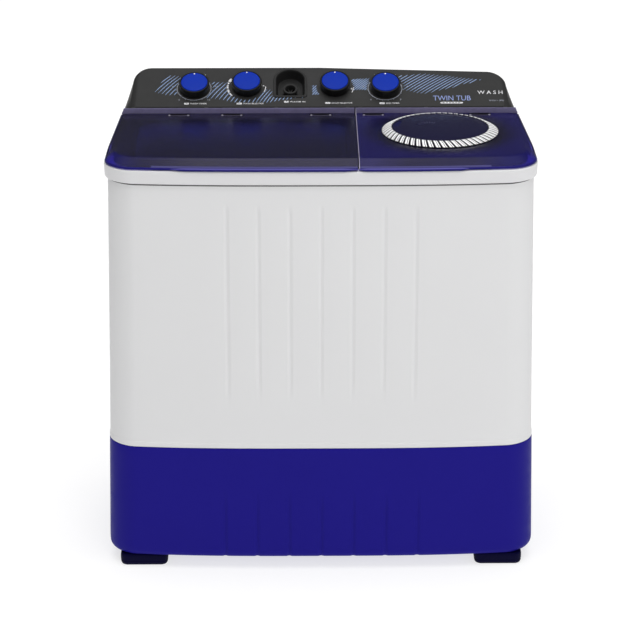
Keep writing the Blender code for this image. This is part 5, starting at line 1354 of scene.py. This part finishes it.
    # lint filter: cassette with a row of dark strips across its face and a tab
    obs = []
    box = loft("fb", [[(px, y, pz) for px, pz in rounded_rect(-206.0 + o, -114.0 - o, 565.0 + o, 715.0 - o, 8.0, 6)]
                      for y, o in ((127.5, 0.6), (126.6, 0.0), (117.2, 0.0), (115.6, 0.6), (115.0, 1.8))], M["filter_white"], cap0=True, cap1=True)
    obs.append(box)
    for k in range(13):
        z = 590.0 + 8.0 * k
        obs.append(loft("fs", [[(px, y, pz) for px, pz in rounded_rect(-196.0, -124.0, z - 2.0, z + 2.0, 1.9, 4)] for y in (115.2, 114.6)],
                        M["deck_graphite"], cap0=True, cap1=True))
    obs.append(loft("fh", [[(px, y, pz) for px, pz in rounded_rect(-180.0, -140.0, 699.0, 709.0, 4.0, 6)] for y in (115.2, 113.0)],
                    M["filter_white"], cap0=True, cap1=True))
    place(join("lint_filter_fine", obs), replaces=("lint_filter",))


def flip_up(ob):
    me = ob.data
    floor = min(me.polygons, key=lambda f: f.center.z)
    if floor.normal.z < 0.0:
        me.flip_normals()


def build_deck():
    """Rounded rims round both mouths and shallow ribs, on the deck plate."""
    def bead(outline, z, w, h, name):
        cx = sum(p[0] for p in outline) / len(outline)
        cy = sum(p[1] for p in outline) / len(outline)
        n = len(outline)
        rings = []
        for d, dz in ((0.3, 0.0), (0.3, h * 0.6), (0.3 + 0.2 * w, h * 0.93), (0.3 + 0.5 * w, h), (0.3 + 0.8 * w, h * 0.85), (0.3 + w, h * 0.4), (0.3 + w, 0.0)):
            ring = []
            for i, (x, y) in enumerate(outline):
                a, b = outline[i - 1], outline[(i + 1) % n]
                t = Vector((b[0] - a[0], b[1] - a[1])).normalized()
                nx, ny = t.y, -t.x
                if (x - cx) * nx + (y - cy) * ny < 0.0:
                    nx, ny = -nx, -ny
                ring.append((x + nx * d, y + ny * d, z + dz))
            rings.append(ring)
        return loft(name, rings, M["deck_graphite"], wrap=True, angle=50.0)
    wash = bead(rounded_rect(-370.0, 50.0, -195.0, 62.0, 45.0, 14), 865.45, 9.0, 3.2, "b1")
    spin = bead([(SPIN_C[0] + 124.0 * math.cos(2 * math.pi * i / 96), SPIN_C[1] + 124.0 * math.sin(2 * math.pi * i / 96)) for i in range(96)],
                865.45, 8.0, 3.2, "b2")
    place(join("deck_rims", [wash, spin]))
    for name, sign in (("deck_border_left", -1.0), ("deck_border_right", 1.0)):
        rings = []
        for y in (-148.0, -144.0, -100.0, -50.0, 0.0, 50.0, 98.0):
            x0, x1 = trim_half(y, 12.8), trim_half(y, 20.4 - (3.0 if y < -145.0 else 0.0))
            rings.append([(sign * x0, y, 860.9), (sign * x0, y, 863.4), (sign * (x0 - 0.6), y, 864.0), (sign * (x1 + 0.6), y, 864.0),
                          (sign * x1, y, 863.4), (sign * x1, y, 860.9)])
        place(loft(name, rings, M["deck_graphite"], cap0=True, cap1=True))


# --------------------------------------------------------------------- rear
def build_rear():
    y0 = 240.4
    obs = [loft("rc", [[(px, y, pz) for px, pz in rounded_rect(-312.0 + o, 312.0 - o, 318.0 + o, 802.0 - o, 12.0, 8)]
                       for y, o in ((y0, 0.0), (241.6, 0.0), (242.2, 0.5), (242.4, 1.4))], M["cover_grey"], cap0=True, cap1=True)]
    for bank in (-150.0, 150.0):
        for k in range(12):
            z = 360.0 + 15.0 * k
            rings = []
            for i in range(9):
                x = bank - 95.0 + 190.0 * i / 8
                h = 3.4 * smoothstep(0.0, 1.5, min(i, 8 - i)) + 0.3
                rings.append([(x, 242.2, z - 0.5), (x, 242.3 + 0.75 * h, z - 0.2), (x, 242.3 + h, z + 0.8), (x, 242.3 + 0.8 * h, z + 3.6),
                              (x, 242.2 + 0.3 * h, z + 6.2), (x, 242.2, z + 7.4)])
            obs.append(loft("lv", rings, M["cover_grey"], cap0=True, cap1=True, angle=50.0))
            # dark strip under each louvre hood: painted shade of its opening
            obs.append(loft("ls", [[(px, y, pz) for px, pz in rounded_rect(bank - 90.0, bank + 90.0, z - 4.2, z - 0.8, 1.6, 4)] for y in (242.3, 242.55)],
                            M["port_black"], cap0=True, cap1=True))
    for x0, x1, z0, z1 in ((-250.0, 250.0, 600.0, 606.0), (-250.0, 250.0, 700.0, 706.0)):
        obs.append(loft("rb", [[(px, y, pz) for px, pz in rounded_rect(x0 + o, x1 - o, z0 + o, z1 - o, 2.8 - o, 5)] for y, o in ((242.2, 0.0), (243.2, 0.3), (243.9, 1.4))],
                        M["cover_grey"], cap0=True, cap1=True, angle=50.0))
    place(join("rear_cover_fine", obs), replaces=("rear_cover",))
    for i, (x, z) in enumerate(((-305.0, 326.0), (305.0, 326.0), (305.0, 794.0), (-305.0, 794.0))):
        mat = Matrix.Translation((x * MM, 242.6 * MM, z * MM)) @ Matrix.Rotation(math.radians(-90.0), 4, 'X')
        head = lathe("sh", [(0.0, 0.0), (5.6, 0.0), (6.0, 0.4), (5.7, 1.4), (4.8, 2.3), (3.4, 2.9), (1.8, 3.1), (0.0, 3.15)], M["screw_steel"], 40, mat)
        bars = []
        # dark cross bars on the head: painted shade of the screw's recess
        for a in (35.0, 125.0):
            ca, sa = math.cos(math.radians(a)), math.sin(math.radians(a))
            ring = [[(ca * t - sa * w, sa * t + ca * w, h) for t, w in ((-3.2, -0.55), (3.2, -0.55), (3.2, 0.55), (-3.2, 0.55))] for h in (2.6, 3.2)]
            bars.append(loft("sb", ring, M["port_black"], cap0=True, cap1=True, matrix=mat))
        place(join("rear_screw_%d_fine" % (i + 1), [head] + bars), replaces=("rear_screw_%d" % (i + 1),))
    mat = Matrix.Translation((340.0 * MM, Y_BACK * MM, 310.0 * MM)) @ Matrix.Rotation(math.radians(-90.0), 4, 'X')
    prof = [(4.0, -8.0), (4.0, 8.0), (4.6, 8.6), (6.0, 8.4), (7.2, 7.4), (7.4, 6.6), (7.0, 6.2), (8.0, 5.6), (8.6, 5.0), (8.3, 4.4), (9.4, 3.8),
            (10.0, 3.2), (9.7, 2.6), (11.6, 1.6), (12.4, 0.9), (12.4, 0.4), (9.2, 0.4), (9.2, -8.0)]
    ob = lathe("cord_gland_fine", prof, M["boot_rubber"], 48, mat, wrap=True)
    place(ob, replaces=("cord_gland",))
    # ridged end of the drain spout
    mat = Matrix.Translation((DRAIN_C[0] * MM, 0.0, 150.0 * MM)) @ Matrix.Rotation(math.radians(-90.0), 4, 'X')
    prof = [(12.3, 240.5)]
    for k in range(3):
        y = 243.0 + 5.0 * k
        prof += [(15.3, y), (16.1, y + 0.8), (15.3, y + 3.4)]
    prof += [(15.2, 258.2), (14.6, 258.8), (12.4, 258.8), (12.0, 258.2), (12.0, 240.5)]
    ob = lathe("drain_spout_end", prof, M["hose_grey"], 48, mat, wrap=True)
    place(ob)


# --------------------------------------- CAD nodes that keep their own shape
def carry_over():
    """Every node left showing gets a smooth-shaded copy with its own material; listed nodes also get a fine bevelled
    edge.
    """
    done = {n for o in bpy.data.objects for n in list(o.get("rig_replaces", []))}
    slots = {s["node"]: s["material_slot"] for s in frame["record"]["subparts"]}
    owner = {}
    for b, members in frame["record"]["behaviour"]["bodies"].items():
        for n in members:
            owner[n] = b
    for node, src in frame["nodes"].items():
        if node in done:
            continue
        me = src.data.copy()
        bm = bmesh.new()
        bm.from_mesh(me)
        bmesh.ops.remove_doubles(bm, verts=bm.verts, dist=2e-6)
        bmesh.ops.dissolve_limit(bm, angle_limit=math.radians(0.6), verts=bm.verts, edges=bm.edges)
        bm.to_mesh(me)
        bm.free()
        me.materials.clear()
        me.materials.append(M[slots[node]])
        me.shade_smooth()
        me.set_sharp_from_angle(angle=math.radians(35.0))
        ob = bpy.data.objects.new(node + "_fine", me)
        bpy.context.scene.collection.objects.link(ob)
        if node in ("motor_stand", "wash_motor", "spin_motor", "shaft_housing", "brake_drum", "wash_timer_unit", "wash_selector_unit",
                    "drain_selector_unit", "spin_timer_unit", "drain_valve_housing", "motor_pulley", "drive_pulley"):
            soften(ob, 0.5, 2, 40.0)
        place(ob, owner[node], (node,))


# ---------------------------------------------------------------- studio
def studio():
    me = bpy.data.meshes.new("floor")
    me.from_pydata([(-14, -14, 0), (14, -14, 0), (14, 16, 0), (-14, 16, 0)], [], [(0, 1, 2, 3)])
    floor = bpy.data.objects.new("floor", me)
    bpy.context.scene.collection.objects.link(floor)
    paper = surface("m_floor", (0.36, 0.36, 0.36), 0.8, spec=0.0, tint=0.004, tint_scale=0.6, bump=0.02)
    glow = paper.node_tree.nodes["Principled BSDF"]
    glow.inputs["Emission Color"].default_value = (1.0, 1.0, 1.0, 1.0)
    glow.inputs["Emission Strength"].default_value = 0.70
    me.materials.append(paper)

    w = bpy.data.worlds.new("studio")
    bpy.context.scene.world = w
    w.use_nodes = True
    nt = w.node_tree
    bg = nt.nodes["Background"]
    tc = nt.nodes.new("ShaderNodeTexCoord")
    sep = nt.nodes.new("ShaderNodeSeparateXYZ")
    ramp = nt.nodes.new("ShaderNodeMapRange")
    ramp.interpolation_type = 'SMOOTHSTEP'
    ramp.inputs["From Min"].default_value = 0.55
    ramp.inputs["From Max"].default_value = 0.95
    ramp.inputs["To Min"].default_value = 0.07
    ramp.inputs["To Max"].default_value = 0.75
    nt.links.new(tc.outputs["Generated"], sep.inputs[0])
    nt.links.new(sep.outputs["Z"], ramp.inputs["Value"])
    nt.links.new(ramp.outputs["Result"], bg.inputs["Strength"])
    bg.inputs["Color"].default_value = (1.0, 1.0, 1.0, 1.0)

    def area(name, at, aim, size, power):
        d = bpy.data.lights.new(name, 'AREA')
        d.shape = 'DISK'
        d.size = size
        d.energy = power
        o = bpy.data.objects.new(name, d)
        bpy.context.scene.collection.objects.link(o)
        o.location = at
        o.rotation_euler = (Vector(aim) - Vector(at)).to_track_quat('-Z', 'Y').to_euler()
        o.visible_glossy = False
        o.visible_transmission = False
        o.visible_camera = False
        return o
    area("key", (1.2, -5.0, 3.2), (0, 0, 0.5), 3.0, 70.0)
    area("fill_right", (4.2, -2.6, 2.0), (0, 0, 0.5), 3.0, 44.0)
    area("fill_left", (-4.4, -1.6, 1.8), (0, 0, 0.5), 3.5, 17.0)
    area("back", (0.5, 4.6, 2.4), (0, 0, 0.5), 4.0, 80.0)
    area("top", (0.0, -0.5, 4.6), (0, 0, 0.4), 4.0, 120.0)

    sc = bpy.context.scene
    sc.view_settings.view_transform = 'Standard'
    sc.view_settings.look = 'None'
    cam = bpy.data.cameras.new("camera")
    cam.lens = 150.907
    cam.sensor_width = 36.0
    cam.shift_x = -0.0003
    cam.clip_end = 100.0
    co = bpy.data.objects.new("camera", cam)
    sc.collection.objects.link(co)
    co.location = (-0.0458143, -5.2498001, 2.4345888)
    co.rotation_euler = (math.radians(90.0 - 20.652014), 0.0, math.radians(-0.5))
    sc.camera = co


studio()
build_shells()
build_trim()
build_seam_shadow()
build_feet()
build_console()
build_port()
build_prints()
build_knobs()
build_lids()
build_vent()
build_tubs()
build_deck()
build_rear()
carry_over()
